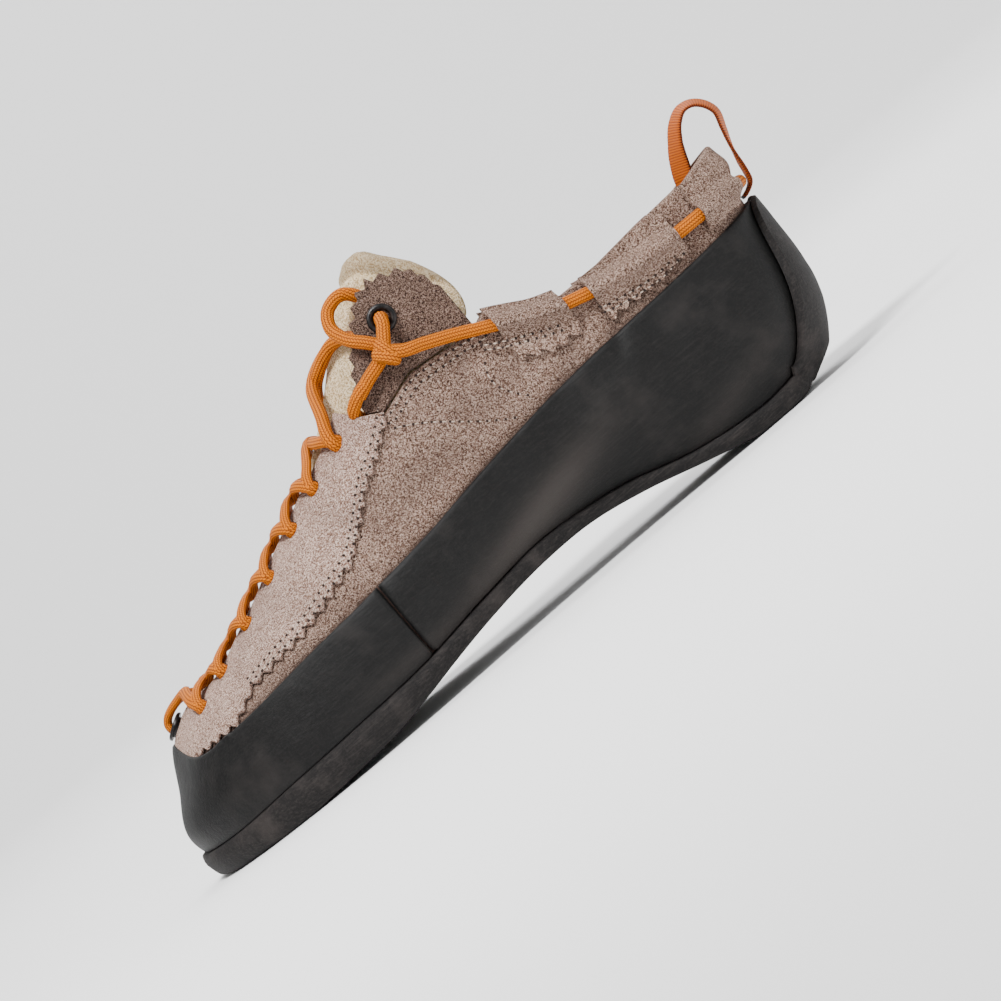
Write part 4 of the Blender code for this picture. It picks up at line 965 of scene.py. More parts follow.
def ankleRoute():
    halves = [[placeStop(stop, side)[2] for stop in ankleRun] for side in (-1, 1)]
    back = layer(0.0, levelAt(0.0, laceLine[-1].z * shoeHeight), ankleRun[-1].out * laceWide / 2)[0]
    return smoothRows(halves[0] + [back] + halves[1][::-1], 6)


route = ankleRoute()
# its way up looks away from the middle of the ankle, and more sideways than upwards
ways = (route - np.array([-0.060, 0, 0.070])) * np.array([1, 1, 0.4]) + np.array([0, 0, 0.004])
rows = np.concatenate([route, unitRows(ways) * frameScale], axis=1)
ankleLace = joinStrands("ankleLace", [strandTube(rows, laceWide / 2, laceWide / 2)], laceFinish)
finished(ankleLace, "ankle_lace", slot="lace")


# The overhand knot beside each top eyelet: two short turns round the strands. wide, tall: the turn's radii,
# turns: each one's lean in radians and shift along the strands. Lengths in metres
knot = {"x": -0.3020, "z": 0.747, "out": 3.3, "wide": 0.0031, "tall": 0.0023, "pitch": 0.0004,
        "turns": ((0.37, 0.0002), (0.85, -0.0016)), "laceWide": 0.50, "laceThick": 0.34}


def knotTurn(side, lean, shift):
    u, v, centre = placeStop(LaceStop(knot["x"], knot["z"], knot["out"]), side)
    out = frameAt(u, v)[1]
    along = np.array([np.cos(lean), 0, np.sin(lean)])
    along = unitRows(along - out * (along @ out))
    cross = np.cross(out, along)
    rows = []
    for angle in np.linspace(0, 2 * np.pi, 41):
        arm = cross * np.cos(angle) * knot["wide"] + out * np.sin(angle) * knot["tall"]
        rows.append(np.concatenate([centre + along * (shift + knot["pitch"] * np.cos(angle)) + arm, arm]))
    return strandTube(rows, laceWide * knot["laceWide"], laceWide * knot["laceThick"])


for side, word in ((-1, "Lateral"), (1, "Medial")):
    turns = [knotTurn(side, lean, shift) for lean, shift in knot["turns"]]
    finished(joinStrands("knot" + word, turns, laceFinish), slot="lace")


# The strand's last stop bends over the brim of its hole and goes down into it. Lengths in metres
bend = {"before": 0.0016, "past": 0.0001, "shoulder": 0.0006, "inward": 0.0006, "down": 0.0022}


def intoHole(path, hole, side):
    spot, out = frameAt(*hole)
    top = path[-1][:3]
    travel = top - path[-2][:3]
    travel = unitRows(travel - out * (travel @ out))
    brim = np.concatenate([top - travel * bend["before"], out * frameScale])
    shoulder = top + travel * bend["past"] - out * bend["shoulder"]
    shoulder = np.concatenate([shoulder, (out + travel) * frameScale * 0.7])
    inside = spot + travel * bend["inward"] - out * bend["down"]
    return list(path[:-1]) + [brim, shoulder, np.concatenate([inside, travel * frameScale])]


# Where the lace's end leaves the slot in front of each flap and goes under the leather
slotDive = [LaceStop(*row) for row in (
    (-0.3660, 0.697, 1.35), (-0.3745, 0.689, 0.6), (-0.3790, 0.684, -0.7), (-0.3800, 0.683, -2.0),
)]
strands = []
pairs = len(laceHoles)
for number, (path, thick) in enumerate(crossingPaths()):
    side = -1 if number % 2 == 0 else 1
    if number < 2 * (pairs - 1):
        path = intoHole(path, holePlace(laceHoles[number // 2 + 1], -side), -side)
        path = intoHole(path[::-1], holePlace(laceHoles[number // 2], side), side)
    elif number < 2 * pairs:
        path = intoHole(path, holePlace(laceHoles[-1], side), side)
        path = intoHole(path[::-1], (toeAt, toeEyeletLevel), side)
    else:
        path = intoHole(path, holePlace(laceHoles[0], -side), -side)
    strands.append(strandTube(smoothRows(path, 8), laceWide / 2, thick))
for side, first in ((-1, route[4]), (1, route[-5])):
    dive = [np.concatenate([first, frameAt(*place(first[0], first[2], side))[1] * frameScale])]
    for stop in slotDive:
        u, v, spot = placeStop(stop, side)
        way = np.array([-0.3, 0, 0.25]) + frameAt(u, v)[1] * max(stop.out, 0)
        dive.append(np.concatenate([spot, way * frameScale]))
    strands.append(strandTube(smoothRows(dive, 8), laceWide * 0.49, laceWide * 0.49))
finished(joinStrands("laceCrossings", strands, laceFinish), "lace_crossings", slot="lace")
print("laces made")


# Upper: one skin from the feather to the collar and the throat. Lengths in metres
quarter = {"reach": 0.022, "arc": (-0.365, -0.205), "blend": 0.012, "roll": 0.0007, "rollAt": 0.0022,
           "rollWide": 0.0019, "shadow": 0.006}


# Painted shade on the upper: darker just above the rand's top edge and in the hollows, darkest where it lies
# under the rand and shows through the slit at the rand's seam
def upperShade(points, u):
    low = roundValues(randLine, u)
    near = np.clip(1 - (points[:, 2] - low) / quarter["shadow"], 0, 1)
    under = np.clip((low + 0.0006 - points[:, 2]) / 0.001, 0, 1)
    return np.maximum(0.35 * near**2 + 0.5 * np.clip(hollowField(points) / 0.0012, 0, 1), under)


def quarterRoll(u, v):
    # the quarter's folded edge round the foot of each flap
    x = form(u, v)[:, 0] / shoeLength
    start, end = quarter["arc"]
    inArc = np.clip((x - start) / quarter["blend"], 0, 1) * np.clip((end - x) / quarter["blend"], 0, 1)
    down = (np.interp(u, fineU, topLine) - v) * quarter["reach"]
    return quarter["roll"] * inArc * np.exp(-(((down - quarter["rollAt"]) / quarter["rollWide"]) ** 2))


behind = form(fineU, 2.0)[:, 0] > collarEdge[0].x * shoeLength
topLine = np.where(behind, levelAt(fineU, line(collarEdge), 0.0, low=1.0), 4.0)
upper = makeSheet("upper", fineU, np.zeros(len(fineU)), topLine, -wallThick, 0.0, quarterSuede, 52, 0.075,
                  closed=True, lowRim=False, shade=upperShade, extra=quarterRoll)
lineInside(upper, liningSuede)
print("upper made")


# Eyestay with its pinked lower edge
eyestayTeeth = {"pitch": 0.0049, "deep": 0.0024}


# Painted shade: the eyestay darker in its hollows
def stayShade(points, u):
    return 0.4 * np.clip(hollowField(points) / 0.0010, 0, 1)


back = np.round(sidePlace(eyestayBack * shoeLength, 3.5, -1) * fineSteps) / fineSteps
stayU = fineColumns(back, stationCount - back)
stayU = np.unique(np.concatenate([stayU, (stayU[1:] + stayU[:-1]) / 2]))
edgeLow = levelAt(stayU, line(eyestayEdge))
overRand = levelAt(stayU, roundValues(randLine, stayU) - 0.0004, gap + randThick)
low = np.maximum(edgeLow, overRand)
teeth = pinked(stayU, low, **eyestayTeeth) / levelReach(stayU, low)
low = low + teeth * (edgeLow > overRand - 0.02)
behind = form(stayU, 3.5)[:, 0] > collarEdge[0].x * shoeLength
high = np.maximum(np.where(behind, collarLevel(stayU), 4.0), low + 0.05)
eyestay = makeSheet("eyestay", stayU, low, high, gap, gap + overlayThick, suede, 34, 0.040, ends=True,
                    shade=stayShade)
print("eyestay made")


# Holes for the lace through eyestay and upper
def holeCutter(sides=24, reach=0.006):
    vertices, faces = [], []
    places = [(holePlace(hole, side), holeWide / 2) for side in (-1, 1) for hole in laceHoles]
    places.append(((toeAt, toeEyeletLevel), eyeletBarrel / 2 + gap))
    angles = 2 * np.pi * np.arange(sides) / sides
    for (u, v), radius in places:
        centre, axis = frameAt(u, v)
        across = unitRows(np.cross(axis, [0, 1.0, 0.1]))
        other = np.cross(axis, across)
        start = len(vertices)
        ring = [(across * np.cos(angle) + other * np.sin(angle)) * radius for angle in angles]
        vertices += [centre + axis * depth + arm for depth in (-reach, reach) for arm in ring]
        low, high = list(range(start, start + sides)), list(range(start + sides, start + 2 * sides))
        faces += [[low[k - 1], low[k], high[k], high[k - 1]] for k in range(sides)] + [low[::-1], high]
    return makeMesh("holeCutter", vertices, faces, liningSuede)


cutter = holeCutter()
for piece in (upper, eyestay):
    combined(piece, cutter, "DIFFERENCE")
bpy.data.objects.remove(cutter, do_unlink=True)
finished(upper, "upper", slot="suede")
finished(eyestay, "eyestay", slot="suede")
print("holes cut")


# Lace tunnels: leather arched over the lace, with a pinked lower edge. The last one's mouth is hollowed, in
# stations, so that the lace shows beside the pull loop
tunnel = {"columns": 90, "rows": 57, "pitch": 0.0046, "deep": 0.0022, "mouth": 0.10, "mouthWide": 2.2}


def tunnelShape(name, row, side, mouth):
    ends = [sidePlace(x * shoeLength, 3.0, side) for x in (row.start, row.end)]
    u = np.linspace(min(ends), max(ends), tunnel["columns"])
    lace = levelAt(u, line(laceLine))
    reach = levelReach(u, lace)
    radius = laceWide / 2
    rows = [levelAt(u, line(tunnelEdge))] + [lace + step.across * radius / reach for step in tunnelRows]
    rows = np.array(rows + [collarLevel(u)])
    rows[0] = np.minimum(rows[0], rows[1] - 0.05)
    rows[-1] = np.maximum(rows[-1], rows[-2] + 0.03)
    rows[0] = rows[0] + pinked(u, rows[0], tunnel["pitch"], tunnel["deep"]) / levelReach(u, rows[0])
    rises = [0.0] + [step.rise * radius for step in tunnelRows] + [0.0]
    shares, fine = np.linspace(0, 1, len(rows)), np.linspace(0, 1, tunnel["rows"])
    levels = np.array([np.interp(fine, shares, column) for column in rows.T])
    arch = smoothRows([[s, r] for s, r in zip(shares, rises)], 7)
    rise = np.maximum(np.interp(fine, arch[:, 0], arch[:, 1]), 0)
    nearHeel = np.clip(1 - np.abs(u - ends[1]) / np.ptp(ends), 0, 1)[:, None]
    hollowed = np.exp(-(((levels - lace[:, None]) * reach[:, None] / (tunnel["mouthWide"] * radius)) ** 2))
    gridU = (u[:, None] - side * mouth * hollowed * nearHeel).ravel()
    inner = gap + tunnelSlack + np.broadcast_to(rise, levels.shape).ravel()
    top, under = (softLayer(gridU, levels.ravel(), depth) for depth in (inner + tunnelThick, inner))
    return shell(name, top, under, len(fine), quarterSuede, 0)


# Flaps with pinked rims round the top eyelets, and the tunnels behind them
flapTeeth = {"pitch": 0.0050, "deep": 0.0021}
for side, word in ((-1, "Lateral"), (1, "Medial")):
    ends = [sidePlace(point.x * shoeLength, 3.3, side) for point in (flapEdge[0], flapEdge[-1])]
    u = np.linspace(min(ends), max(ends), 130)
    collar = line(collarEdge)
    low = levelAt(u, lambda x: collar(x) + gap * 2)
    high = np.maximum(levelAt(u, toothed(flapEdge, **flapTeeth), high=5.0), low + 0.04)
    flap = makeSheet("flap" + word, u, low, high, -flapThick, 0.0, flapSuede, 40, 0.028, ends=True)
    finished(flap, "flap_" + word.lower(), slot="suede")
    for number, row in enumerate(tunnels, 1):
        mouth = tunnel["mouth"] if number == len(tunnels) else 0
        piece = tunnelShape(f"tunnel{word}{number}", row, side, mouth)
        finished(piece, f"tunnel_{word.lower()}_{number}", slot="suede")
print("flaps and tunnels made")


# Rubber rands. Painted highlights, pale patches on the lower flanks, lie on them in a few places; depth is
# their strength here
dustAndHighlight = [Hollow(*row) for row in (
    (-0.330, 0.190, 14, 0.030, 0.0050, 0.45, 0), (-0.250, 0.220, 14, 0.022, 0.0060, 0.27, 0),
    (-0.050, 0.110, 18, 0.022, 0.0040, 0.21, 0), (-0.500, 0.140, 2, 0.020, 0.0030, 0.18, 0),
)]
# the eyestay's edge goes on under the rubber and shows through it: its line in metres as x and z, its teeth
# and its relief
covered = {"x": (-0.192, -0.184, -0.172, -0.160), "z": (0.0295, 0.0325, 0.0365, 0.0400), "pitch": 0.0043,
           "deep": 0.0020, "start": -0.193, "end": -0.162, "relief": 0.0007}
seamHalf = 0.00022


# painted highlight: the rand drawn towards the pale rubber colour in those patches
def randHighlight(points, u):
    return np.clip(hollowField(points, dustAndHighlight), 0, 0.6)


def randTeeth(u, v):
    points = form(u, v)
    x, z = points[:, 0], points[:, 2]
    edge = np.interp(x, covered["x"], covered["z"]) + covered["deep"] * sawTooth(x / covered["pitch"])
    near = np.clip((x - covered["start"]) / 0.003, 0, 1) * np.clip((covered["end"] - x) / 0.004, 0, 1)
    return covered["relief"] * near * np.clip((z - edge) / covered["relief"], 0, 1)


lateralSeam, medialSeam = (sidePlace(randSeam * shoeLength, 2.0, side) for side in (-1, 1))
slit = seamHalf / roundChord.mean()
for name, node, start, end, relief in (
    ("frontRand", "front_rand", lateralSeam + slit, medialSeam - slit, randTeeth),
    ("rearRand", "rear_rand", medialSeam + slit - stationCount, lateralSeam - slit, None),
):
    u = fineColumns(start, end)
    low = levelAt(u, feather(u), gap + randThick)
    high = levelAt(u, roundValues(randLine, u), gap + randThick)
    piece = makeSheet(name, u, low, high, gap, gap + randThick, randRubber, 30, 0.033, lowRim=False,
                      ends=True, shade=randHighlight, extra=relief)
    finished(piece, node, slot="rand_rubber")
print("rands made")


# Outsole: rings from its top edge round the lip to the flat underside. Each row is a place outwards from the
# rand in metres and a share of the height
soleProfile = (
    (-0.0030, 1.0), (soleLip - 0.0006, 1.0), (soleLip - 0.0001, 0.97), (soleLip + 0.0002, 0.88),
    (soleLip + 0.0005, 0.7), (soleLip + 0.0005, 0.55), (soleLip + 0.0002, 0.38), (soleLip - 0.0004, 0.2),
    (soleLip - 0.0010, 0.10), (soleLip - edgeRound, 0.04), (soleLip - edgeRound * 1.6, 0.01),
    (soleLip - flatInset, 0), (-0.012, 0),
)
# at the heel the side follows these lines instead: shares of the height and places outwards. whole: in the
# middle of the heel, base: beside it
heelWhole = ((0, 0.04, 0.1, 0.2, 0.3, 0.48, 1), (-0.009, -0.0075, -0.0052, -0.0018, 0.0005, 0.0026, 0.0080))
heelBase = ((0, 0.1, 0.3, 1), (-0.0034, -0.0005, 0.0010, heelStrip))
wrapReach, narrowReach = 1.5, 1.15


def outsoleShape():
    u = fineU
    edge = layer(u, levelAt(u, feather(u), gap + randThick), gap + randThick)
    ahead = np.roll(edge, -1, axis=0) - np.roll(edge, 1, axis=0)
    plan = unitRows(np.stack([-ahead[:, 1], ahead[:, 0], np.zeros(len(u))], axis=1))
    plan *= np.sign(((edge - edge.mean(axis=0)) * plan).sum(axis=1).sum())
    bottom = smoothRows([(p.x * shoeLength, p.z * shoeHeight) for p in soleBottom], 6)
    fromHeel = np.minimum(u, stationCount - u)
    wrap, narrow = eased(wrapReach - fromHeel), eased(narrowReach - fromHeel)
    toeNear = np.clip(1.6 - np.abs(u - toeAt), 0, 1)

    def ring(out, share):
        if -0.01 < out and not (share == 1 and out < 0):
            whole, base = np.interp(share, *heelWhole), np.interp(share, *heelBase)
            out = out + toeNear * (0.55 * max(soleLip - out, 0) + 0.0009)
            out = out * (1 - wrap) + base * wrap + (whole - base) * narrow
        points = edge + plan * (np.zeros(len(u)) + out)[:, None]
        floor = np.maximum(np.interp(points[:, 0], bottom[:, 0], bottom[:, 1]), 0)
        points[:, 2] = floor + (feather(u) - gap - floor) * share
        return points

    rings = [ring(out, share) for out, share in soleProfile]
    count = len(u)
    faces = gridFaces(len(rings), count, closedCount=True).tolist()
    for start in (0, (len(rings) - 1) * count):
        for i in range(count // 2):
            loop = dict.fromkeys((i, i + 1, (count - i - 1) % count, (count - i) % count))
            if len(loop) > 2:
                faces.append([start + k for k in loop])
    return makeMesh("outsole", np.concatenate(rings), faces, soleRubber, 0)


# The heel strip, from the floor up the back of the heel: half its width in stations, and rows up to its edge.
# low: its swelling near the floor, as levels and metres. shade: how far the whole strip is drawn towards the
# pale rubber colour
strip = {"half": 1.22, "columns": 50, "rows": 60, "foot": -0.15, "ends": ((1.0, 0.098), (1.22, 0.066)),
         "low": ((-0.15, -0.03, 0.27, 0.84, 1.25), (0.0002, 0.0008, 0.0026, 0.0014, 0)), "shade": 0.35}


def stripShape():
    half = np.linspace(0, strip["half"], strip["columns"])
    u = np.concatenate([-half[::-1], half[1:]])
    seat = gap * 2 + randThick
    tops = smoothRows([(row.u, row.z) for row in stripEdge[:-1]] + list(strip["ends"]), 8)
    high = levelAt(u, np.interp(np.abs(u), tops[:, 0], tops[:, 1]) * shoeHeight, seat + heelStrip)
    v = strip["foot"] + (high - strip["foot"])[:, None] * np.linspace(0, 1, strip["rows"])[None, :]
    wrap, narrow = (eased(reach - np.abs(u))[:, None] for reach in (wrapReach, narrowReach))
    taper = 1 - 0.55 * np.clip((v - 1.2) / 1.3, 0, 1)
    proud = (soleLip + (heelStrip - soleLip) * wrap) * taper + np.interp(v, *strip["low"]) * narrow
    rim = np.clip((high[:, None] - v) * 25, 0, 1)
    proud = proud * np.sqrt(np.maximum(1 - (1 - rim) ** 2, 0.03))
    gridU, levels = np.repeat(u, strip["rows"]), v.ravel()
    top, under = softLayer(gridU, levels, seat + proud.ravel()), softLayer(gridU, levels, seat + gap)
    return shell("heelStrip", top, under, strip["rows"], soleRubber, strip["shade"])


outsole, heelPart = outsoleShape(), stripShape()
combined(outsole, heelPart, "UNION")
bpy.data.objects.remove(heelPart, do_unlink=True)
outsole.data.shade_smooth()
outsole.data.set_sharp_from_angle(angle=np.radians(40))
finished(outsole, "outsole", slot="sole_rubber")
print("outsole made")


# Tongue: cream suede over a thin pad, its top rim sewn and rolled. rimAlong, rimAcross: metres between the
# grid's rows and columns at its rim; seam: rows below the tip
pad = {"rimAlong": 0.0016, "rimAcross": 0.0011, "seam": 7, "groove": 0.0010, "grooveRows": 0.9,
       "rimShade": 0.5}


def edgeDistance(count, step):
    places = np.arange(count)
    return np.minimum(places, count - 1 - places) * step


def tongueShape():
    rows = []
    for row in tongueRows:
        depth = -(wallThick + tongueClear + tongueRoom * row.room)
        sides = []
        for side in (-1, 1):
            places = []
            for share in (0, 0.5, 1):
                v = row.vWing + (row.vSide - row.vWing) * share
                x = (row.xWing + (row.xSide - row.xWing) * share) * shoeLength
                places.append(layer(sidePlace(x, v, side), v, depth)[0])
            sides.append(places)
        middle = (sides[0][2] + sides[1][2]) / 2
        ridge = [row.xRidge * shoeLength, middle[1], row.zRidge * shoeHeight]
        rows.append(smoothRows(sides[0] + [ridge] + sides[1][::-1], 9))
    grid = np.stack([smoothRows(run, 12) for run in np.array(rows).transpose(1, 0, 2)], axis=1)
    normal = unitRows(np.cross(np.gradient(grid, axis=0), np.gradient(grid, axis=1)))
    tall, count = grid.shape[:2]
    normal *= np.sign(normal[:, count // 2, 2].sum())
    ends, sides = edgeDistance(tall, pad["rimAlong"]), edgeDistance(count, pad["rimAcross"])
    near = np.minimum(ends[:, None], sides[None, :])
    radius = tongueThick / 2
    pull = np.minimum(rounded(near, radius), radius * 0.97)
    fromSeam = np.arange(tall) - (tall - pad["seam"])
    groove = pad["groove"] * np.exp(-((fromSeam / pad["grooveRows"]) ** 2))[:, None]
    top, under = grid - normal * (pull + groove)[:, :, None], grid - normal * (tongueThick - pull)[:, :, None]
    shade = np.tile(np.repeat(np.clip((fromSeam + 1) / 2, 0, 1) * pad["rimShade"], count), 2)
    return shell("tongue", top.reshape(-1, 3), under.reshape(-1, 3), count, creamSuede, shade)


finished(tongueShape(), "tongue", slot="cream_suede")
print("tongue made")


# Eyelets: a rounded flange on the leather and a barrel through it
flange = {"sides": 56, "steps": 11, "foot": 0.0002, "crown": 1.05, "fullness": 0.7}


def eyeletRing(name, u, v, seat, back):
    centre, axis = frameAt(u, v)
    low = seat + gap * 1.2
    foot = low + flange["foot"]
    bore, outer, barrel = eyeletBore / 2, eyeletOuter / 2, eyeletBarrel / 2
    mid, half = (bore + outer) / 2, (outer - bore) / 2
    profile = [(bore, back), (bore, foot)]
    for angle in np.linspace(np.pi, 0, flange["steps"]):
        rise = eyeletThick * flange["crown"] * np.sin(angle) ** flange["fullness"]
        profile.append((mid + half * np.cos(angle), foot + rise))
    profile += [(outer, low), (barrel, low), (barrel, back)]
    across = unitRows(np.cross(axis, [0, 0, 1.0]))
    other = np.cross(axis, across)
    vertices = []
    for angle in 2 * np.pi * np.arange(flange["sides"]) / flange["sides"]:
        arm = across * np.cos(angle) + other * np.sin(angle)
        vertices += [centre + arm * radius + axis * lift for radius, lift in profile]
    faces = gridFaces(flange["sides"], len(profile), closedRows=True, closedCount=True)
    return makeMesh(name, vertices, faces, eyeletFinish, smooth=40)


toeRing = eyeletRing("eyeletToe", toeAt, toeEyeletLevel, gap + overlayThick, -wallThick - gap)
finished(toeRing, "eyelet_toe", slot="eyelet_metal")
for side, word in ((-1, "Lateral"), (1, "Medial")):
    u, v = place(flapEyelet.x * shoeLength, flapEyelet.z * shoeHeight, side)
    ring = eyeletRing("eyelet" + word, u, v, 0.0, -flapThick - gap)
    finished(ring, "eyelet_" + word.lower(), slot="eyelet_metal")
print("eyelets made")


# Pull loop: a flat woven tape with beaded edges, twisted along its way. twist: a turn in radians with the
# shares of the length where it starts and ends. Lengths in metres
tape = {"sides": 40, "step": 0.0004, "square": 0.35, "pick": 0.0011, "bead": 0.00018, "weave": 0.00006,
        "inset": 0.0002, "front": (0, 0.6), "rear": (0.42, 0.87), "rearTwist": 0.28}


def twistShare(share, start, end):
    return np.sin(np.pi * np.clip((share - start) / (end - start), 0, 1))


def loopShape():
    path = smoothRows([(p.x * shoeLength, 0, p.z * shoeHeight) for p in loopLine], 1)
    path, places = evenly(smoothRows(path, 10), tape["step"])
    ahead = unitRows(np.gradient(path, axis=0))
    share = np.linspace(0, 1, len(path))
    twist = loopTwist * twistShare(share, *tape["front"]) ** 2
    twist += tape["rearTwist"] * twistShare(share, *tape["rear"])
    face = np.cross(ahead, [0, 1.0, 0])
    wide = np.array([0, 1.0, 0])[None, :] * np.cos(twist)[:, None] + face * np.sin(twist)[:, None]
    thick = np.cross(ahead, wide)
    angle = 2 * np.pi * np.arange(tape["sides"]) / tape["sides"]
    waves = np.cos(angle), np.sin(angle)
    beside, above = (np.sign(wave) * np.abs(wave) ** tape["square"] for wave in waves)
    turn, run = np.meshgrid(np.arange(tape["sides"]), np.pi * places / tape["pick"])
    bead = tape["bead"] * (np.abs(beside) > 0.93) * np.abs(np.sin(run))
    weave = tape["weave"] * (np.abs(above) > 0.9) * np.abs(np.sin(run + np.pi * (turn % 2)))
    across, out = beside * (loopWidth / 2 - tape["inset"] + bead), above * (loopThick / 2 + weave)
    rings = path[:, None] + wide[:, None] * across[:, :, None] + thick[:, None] * out[:, :, None]
    return joinStrands("pullLoop", [strandPart(rings, places)], webFinish)


finished(loopShape(), "pull_loop", slot="webbing")
print("pull loop made")


# Stitches laid along lines on the leather by Geometry Nodes. Lengths in metres
def stitchTree(finish):
    tree = bpy.data.node_groups.new("stitchRun", "GeometryNodeTree")
    tree.interface.new_socket("Geometry", in_out="INPUT", socket_type="NodeSocketGeometry")
    for name in ("Pitch", "Stitch Length", "Thread"):
        tree.interface.new_socket(name, in_out="INPUT", socket_type="NodeSocketFloat")
    tree.interface.new_socket("Geometry", in_out="OUTPUT", socket_type="NodeSocketGeometry")
    source, pitch, long, wide = tree.nodes.new("NodeGroupInput").outputs[:4]
    curve = addNode(tree, "GeometryNodeMeshToCurve", {"Mesh": source}).outputs[0]
    even = addNode(tree, "GeometryNodeResampleCurve", {"Curve": curve, "Length": pitch}, mode="LENGTH")
    ball = addNode(tree, "GeometryNodeMeshUVSphere", {"Segments": 8, "Rings": 6, "Radius": 0.5}).outputs[0]
    size = addNode(tree, "ShaderNodeCombineXYZ", {"X": wide, "Y": wide, "Z": long}).outputs[0]
    tangent = addNode(tree, "GeometryNodeInputTangent").outputs[0]
    turn = addNode(tree, "FunctionNodeAlignRotationToVector", {"Vector": tangent}, axis="Z").outputs[0]
    spread = addNode(tree, "GeometryNodeInstanceOnPoints", {
        "Points": even.outputs[0], "Instance": ball, "Rotation": turn, "Scale": size}).outputs[0]
    real = addNode(tree, "GeometryNodeRealizeInstances", {"Geometry": spread}).outputs[0]
    paint = addNode(tree, "GeometryNodeSetMaterial", {"Geometry": real, "Material": finish}).outputs[0]
    tree.links.new(paint, tree.nodes.new("NodeGroupOutput").inputs[0])
    return tree


def stitchPiece(name, runs, finish, sizes):
    # sizes: pitch, length and width of a stitch
    vertices, edges = [], []
    for run in runs:
        edges += [(len(vertices) + k, len(vertices) + k + 1) for k in range(len(run) - 1)]
        vertices += run.tolist()
    mesh = bpy.data.meshes.new(name)
    mesh.from_pydata(vertices, edges, [])
    piece = bpy.data.objects.new(name, mesh)
    bpy.context.scene.collection.objects.link(piece)
    step = piece.modifiers.new("stitches", "NODES")
    step.node_group = stitchTree(finish)
    sockets = [item for item in step.node_group.interface.items_tree if item.in_out == "INPUT"]
    for socket, value in zip(sockets[1:], sizes):
        step[socket.identifier] = value
    applied(piece)
    piece.data.shade_smooth()
    return finished(piece)


def wallRun(points, side, lift, shift=0.0):
    rows = smoothRows([place(p.x * shoeLength, p.z * shoeHeight, side) for p in points], 10)
    u, v = rows[:, 0], rows[:, 1]
    return softLayer(u, v + shift / levelReach(u, v), lift)


# lift: off the leather, stay, collar, tunnel: the two rows' distances up or down from their line
seam = {"lift": 0.00005, "stay": (0.0022, 0.0046), "collar": (0.0016, 0.0038), "tunnel": (0.0, 0.0018),
        "arc": (-0.362, -0.205), "arcRows": 60, "pitch": 0.0026, "half": 13}
tunnelSeams = (
    (Point(-0.217, 0.603), Point(-0.190, 0.570), Point(-0.160, 0.540), Point(-0.136, 0.518)),
    (Point(-0.084, 0.485), Point(-0.050, 0.468), Point(-0.003, 0.459), Point(0.028, 0.470)),
)
panelLines = (
    (Point(-0.352, 0.600), Point(-0.320, 0.560), Point(-0.285, 0.500), Point(-0.240, 0.430)),
    (Point(-0.226, 0.580), Point(-0.232, 0.520), Point(-0.212, 0.452)),
)
runs = []
for side in (-1, 1):
    lift = gap + overlayThick + seam["lift"]
    runs += [wallRun(eyestayEdge[1:], side, lift, shift) for shift in seam["stay"]]
    ends = [sidePlace(x * shoeLength, 3.2, side) for x in seam["arc"]]
    arc = np.linspace(min(ends), max(ends), seam["arcRows"])
    for shift in seam["collar"]:
        level = collarLevel(arc) - shift / quarter["reach"]
        runs.append(softLayer(arc, level, quarterRoll(arc, level) + seam["lift"]))
    for points in tunnelSeams:
        lift = gap + tunnelSlack + tunnelThick + seam["lift"]
        runs += [wallRun(points, side, lift, shift) for shift in seam["tunnel"]]
    runs += [wallRun(points, side, seam["lift"]) for points in panelLines]
# the threads start half a pitch further on, between the holes
between = [evenly(run, 0.0001)[0][seam["half"]:] for run in runs]
stitchPiece("stitchHoles", runs, holeFinish, (seam["pitch"], 0.0009, 0.0009))
stitchPiece("stitchThreads", between, threadFinish, (seam["pitch"], 0.0015, 0.00042))
print("stitches laid")


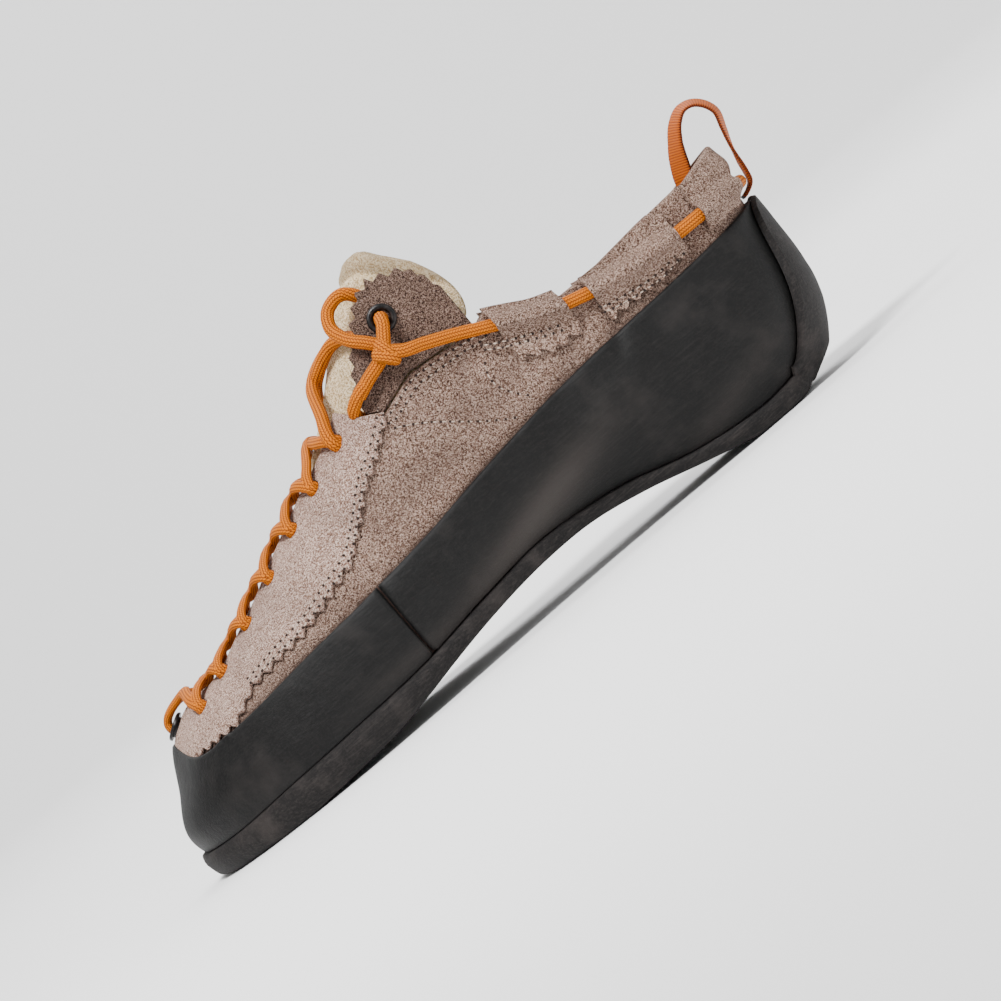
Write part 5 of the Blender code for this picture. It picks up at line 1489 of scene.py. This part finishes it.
# The insole board keeps its solid and gets its own finish
for item in bpy.data.objects:
    if item.type == "MESH" and item.name.split(".")[0] == "insole":
        item.data.materials.clear()
        item.data.materials.append(boardFinish)

# Floor and light: a pale sweep that rises far behind the shoe
sweep = {"half": 8.0, "back": 2.6, "round": 1.6, "tall": 6.0}
profile = [(-sweep["half"], 0.0), (sweep["back"], 0.0)]
for angle in np.linspace(0, np.pi / 2, 25)[1:]:
    profile.append((sweep["back"] + sweep["round"] * np.sin(angle), sweep["round"] * (1 - np.cos(angle))))
profile.append((sweep["back"] + sweep["round"], sweep["tall"]))
floorMesh = bpy.data.meshes.new("floor")
floorMesh.from_pydata(
    [(x, y, z) for y, z in profile for x in (-sweep["half"], sweep["half"])], [],
    [(2 * k, 2 * k + 1, 2 * k + 3, 2 * k + 2) for k in range(len(profile) - 1)])
# matt studio paper
floorFinish = newFinish("paleFloor", Roughness=0.95, Base_Color=linear("FAFAFA"), Specular_IOR_Level=0.1)[0]
floor = newPiece("floor", floorMesh, floorFinish, 180)
world = bpy.data.worlds.new("studio")
bpy.context.scene.world = world
world.use_nodes = True
background = world.node_tree.nodes["Background"].inputs
background["Color"].default_value, background["Strength"].default_value = (1, 1, 1, 1), 0.6


# Spots and sizes in metres, power in watts
def softBox(name, spot, aim, size, power):
    lamp = bpy.data.lights.new(name, "AREA")
    lamp.shape, lamp.size, lamp.size_y, lamp.energy = "RECTANGLE", size, size, power
    made = bpy.data.objects.new(name, lamp)
    bpy.context.scene.collection.objects.link(made)
    turn = (Vector(aim) - Vector(spot)).to_track_quat("-Z", "Y")
    made.matrix_world = Matrix.Translation(spot) @ turn.to_matrix().to_4x4()


softBox("keyLight", (-0.22, -0.55, 0.95), (-0.09, 0, 0.05), 0.30, 18.0)
softBox("fillLight", (0.85, -0.75, 0.45), (-0.05, 0, 0.04), 0.8, 3.0)
softBox("rimLight", (0.15, 0.75, 0.85), (-0.05, 0, 0.05), 0.5, 4.0)
softBox("backdropLight", (0, 0.9, 2.8), (0, 4.0, 1.0), 2.5, 150.0)
print("stage lit")
